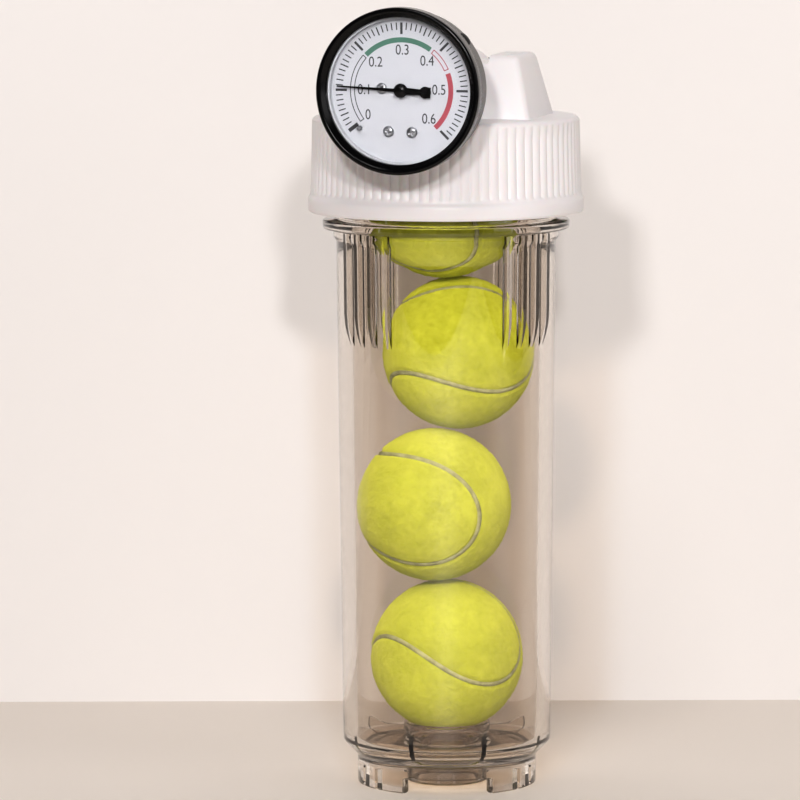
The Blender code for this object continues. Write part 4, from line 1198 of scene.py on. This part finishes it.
# %% Needle
NEEDLE_LOW, NEEDLE_HIGH = 18.6, 19.1
NEEDLE_TURN = turn_by(-3.5)
blade = block((-27, -1, NEEDLE_LOW), (-1.5, 1, NEEDLE_HIGH))
for vert in blade.verts:
    vert.co.y *= 0.22 if vert.co.x < -20 * MM else 0.75
arm = block((1.5, -1, NEEDLE_LOW), (9.5, 1, NEEDLE_HIGH))
for vert in arm.verts:
    vert.co.y *= 1.45 if vert.co.x < 5 * MM else 1.15
tail = placed(prism(48, 2.45, NEEDLE_LOW, NEEDLE_HIGH, 0.1), place_at(10.4, 0, 0))
tail_end = block((10.4, -2.2, NEEDLE_LOW), (12.7, 2.2, NEEDLE_HIGH), 0.15)
hub = [
    (0, 20.4), (1.2, 20.35), (2.0, 20.1), (2.6, 19.7), (2.95, 19.1), (2.95, 18.5), (2.8, 18.4),
    (0, 18.4)]
needle = fused(
    blade, ("UNION", arm), ("UNION", tail), ("UNION", tail_end), ("UNION", spun(hub, 64)),
    ("DIFFERENCE", prism(32, 0.9, 18, 19.8)))
needle = piece(
    "stamped_needle", needle, black_paint, "needle", ["needle"],
    GAUGE_FRAME @ NEEDLE_TURN)
print("needle triangles:", triangles(needle))

# %% [markdown]
# ## Dial screws and stop pin
# Three small cross-head screws hold the dial, each turned as far as it happened to be tightened. A
# pin stops the needle below zero. Each is a turned form, and the screws' slots are cut with blocks.

# %% Dial screws and stop pin
SLOT_REACH, SLOT_HALF = 1.5, 0.36
head = [
    (0, 18.2), (1.2, 18.15), (1.7, 18.0), (2.1, 17.75), (2.3, 17.45), (2.25, 17.3), (0.9, 17.3),
    (0.9, 13.0), (0, 13.0)]
for name, (x, y) in screw_points.items():
    slot_cuts = [
        ("DIFFERENCE", block((-across, -along, 17.4), (across, along, 19), 0.05))
        for across, along in ((SLOT_REACH, SLOT_HALF), (SLOT_HALF, SLOT_REACH))]
    screw = fused(spun(head, 48), *slot_cuts)
    piece(
        f"{name}_cross_head", screw, zinc, "cap", [name],
        GAUGE_FRAME @ place_at(x, y, 0) @ turn_by(25 + 40 * x))
pin = [
    (0, 20.2), (0.5, 20.2), (0.75, 20.0), (0.8, 19.8), (0.8, 16.1), (1.6, 16.1), (1.6, 15.4),
    (0, 15.4)]
turned(
    "turned_stop_pin", pin, 32, zinc, "cap", "stop_pin",
    GAUGE_FRAME @ place_at(*stop_point, 0))
print("screws on the dial:", len(screw_points))

# %% [markdown]
# ## Hexagons and screw threads
# Stem and valve are turned from hexagon bar. The lathe takes the corners down to a cone, which is what
# a hexagon and a turned form have in common. The threads are pressed into turned profiles, as on the
# bottle, because a thread is only a ripple in the radius.

# %% Nuts and threads
SCREW_PITCH = 1.337


def hexagon_nut(flats, low, high):
    """A hexagon whose corners are turned down to a cone at both ends."""
    reach = flats / math.sqrt(3)
    face_r = flats / 2 * 0.97
    limit = [
        (0, high), (face_r, high), (reach, high - 0.9), (reach, low + 0.9), (face_r, low), (0, low)]
    return fused(prism(6, reach, low, high), ("INTERSECT", spun(limit, 72)))


def threaded(core_r, crest_r, low, high, pitch):
    """Profile points and a press function for a screw thread with rounded crests."""
    rows = levels((crest_r, high), (crest_r, low), round((high - low) / pitch * 7))

    def move(turn, height, radius):
        if abs(radius - crest_r) > 0.02 or not low < height < high:
            return 0
        across = (height - pitch * turn / TURN) % pitch / pitch
        return (core_r - crest_r) * (1 - abs(2 * across - 1)) ** 0.8
    return rows, move


print("pitch of the port threads in mm:", SCREW_PITCH)

# %% [markdown]
# ## The gauge's stem
# The hexagon's flats take a spanner, and the thread screws into the front port. Inside the case the
# stem carries the arm and the saddle of the curved tube. A real stem is cut from one bar, so the turned
# form, the hexagon and two blocks are fused.

# %% Stem
STEM_ARM_TURN = turn_by(232)
stem_rows, stem_thread = threaded(5.8, 6.55, -31.4, -18.8, SCREW_PITCH)
stem_profile = [
    (0, 4.6), (4.2, 4.6), (4.5, 4.3), (4.5, 3.9), (12, 3.9), (12, 1.5), (5.5, 1.5), (5.5, -11),
    (5.8, -15.9), (5.8, -18.2), (6.55, -18.8), *stem_rows, (5.9, -32.2), (0, -32.2)]
stem = spun(stem_profile, 48)
press(stem, stem_thread)
stem_steps = [
    ("UNION", hexagon_nut(17, -15.9, -6.9)),
    ("UNION", placed(block((6, -3.5, 1.7), (24.9, 3.5, 4.2), 0.3), STEM_ARM_TURN)),
    ("UNION", placed(block((19.8, -2.5, 2), (25.2, 2.5, 12.4), 0.3), STEM_ARM_TURN)),
    ("DIFFERENCE", prism(24, 1.6, -40, 2))]
for x in SOCKET_SCREWS:
    stem_steps.append(("DIFFERENCE", placed(prism(24, 1.25, 0, 5), place_at(x, 0, 0))))
stem = piece(
    "gauge_stem", fused(stem, *stem_steps), brass, "cap", ["gauge_socket"], GAUGE_FRAME)
print("stem triangles:", triangles(stem))

# %% [markdown]
# ## The curved tube
# Under pressure the flattened tube opens up and its free end moves outward. Its section is an oval,
# swept through 250 degrees, which keeps its flat sides level with the dial.

# %% Curved tube
oval = curve_points(22.5, 10.8, 1.5, 0, 180, 12) + curve_points(22.5, 6.0, 1.5, 180, 360, 12)
tube = piece(
    "flattened_tube", swept(section(oval, -25), math.radians(250), 100), spring_bronze, None,
    ["bourdon_tube"], GAUGE_FRAME)
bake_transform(tube)
print("tube triangles:", triangles(tube))

# %% [markdown]
# ## The tyre valve
# A standard tyre valve screws into the rear port, so any bicycle or car pump fits. Its nickel-plated
# body holds a brass core, and both are turned. The body has two threads, one for the port and a finer
# one for the pump.

# %% Valve body and core
port_rows, port_thread = threaded(5.8, 6.55, -12.2, -0.8, SCREW_PITCH)
tip_rows, tip_thread = threaded(3.45, 3.85, 24.7, 40.5, 0.8)
valve_profile = [
    (3.5, 41), (3.75, 40.8), (3.85, 40.5), *tip_rows, (3.4, 24.2), (3.4, 23.2), (3.7, 22.9),
    (4.6, 22.5), (4.8, 22.2), (4.8, 11), (5.6, 9.6), (5.6, 2.5), (5.9, 2.5), (5.9, -0.2),
    (6.55, -0.8), *port_rows, (5.9, -12.9), (2.0, -12.9), (2.0, 21.2), (2.6, 21.2), (2.6, 40.7),
    (2.9, 41)]
body = spun(valve_profile, 48)
press(body, port_thread)
press(body, tip_thread)
nut = fused(hexagon_nut(17, 2.1, 9.9), ("DIFFERENCE", prism(32, 4.2, 0, 12)))
valve = piece(
    "valve_stem", fused(body, ("UNION", nut)), nickel, "cap",
    ["valve_body"], VALVE_FRAME)
core = [(2.25, 39.5), (2.25, 24.0), (1.0, 24.0), (1.0, 32.7), (1.8, 32.7), (1.8, 39.5)]
turned("turned_valve_core", core, 48, brass, "cap", "valve_core", VALVE_FRAME)
print("valve triangles:", triangles(valve))

# %% [markdown]
# ## The valve's pin and spring
# A pin through the core opens the valve when it is pushed in, and a coil closes it again. The coil is a
# small circle swept five times round the axis while it climbs.

# %% Pin and spring
COILS, COIL_STEPS, WIRE_R, COIL_R = 5, 24, 0.18, 1.2
COIL_LOW, COIL_HIGH = 33.2, 38.0
pin = [
    (0, 40.7), (0.4, 40.7), (0.6, 40.5), (0.6, 39.1), (1.5, 39.1), (1.5, 38.5), (0.6, 38.5),
    (0.6, 23.7), (1.7, 23.7), (1.7, 22.2), (0, 22.2)]
turned("turned_valve_pin", pin, 32, brass, "valve_pin", "valve_pin", VALVE_FRAME)
wire = bmesh.new()
bmesh.ops.create_circle(
    wire, cap_ends=True, segments=10, radius=WIRE_R * MM,
    matrix=place_at(COIL_R, 0, COIL_LOW) @ TO_FRONT)
coil_steps = COILS * COIL_STEPS
wire = swept(wire, TURN * COILS, coil_steps, (COIL_HIGH - COIL_LOW) / coil_steps)
coil = piece("wound_spring", wire, zinc, "cap", ["pin_spring"], VALVE_FRAME)
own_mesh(coil)
print("spring triangles:", triangles(coil))

# %% [markdown]
# ## The dust cap
# A black nylon cap with a rubber seal keeps dirt out of the valve. Twenty-four fine grooves, pressed
# into its side, help cold fingers turn it.

# %% Dust cap
GROOVES, GROOVE = 24, 0.45
dust = [
    (0, 44), (3.6, 44), *curve_points(4.3, 43.1, 0.9, 80, 0, 4),
    *levels((5.2, 42.6), (5.2, 36.6), 6),
    (5.2, 35.8), (5.2, 35.0), (5.0, 34.7), (4.7, 34.6), (4.15, 34.6), (4.15, 42.6), (4.0, 42.8),
    (0, 42.8)]


def dust_grip(turn, height, radius):
    """Grooves in the outside, faded out near the lower rim."""
    if radius <= 4.5:
        return 0
    return -GROOVE * (1 - abs(math.cos(turn * GROOVES / 2))) * ramp(height, 35.9, 36.8)


dust = spun(dust, 144)
press(dust, dust_grip)
dust_cap = piece(
    "nylon_dust_cap", dust, black_nylon, "valve_cap", ["valve_cap"], VALVE_FRAME)
seal = [(0, 42.5), (3.4, 42.5), (3.6, 42.3), (3.6, 41.5), (3.4, 41.3), (0, 41.3)]
turned(
    "dust_cap_seal", seal, 48, rubber, "valve_cap_seal", "valve_cap_seal",
    VALVE_FRAME)
print("dust cap triangles:", triangles(dust_cap))
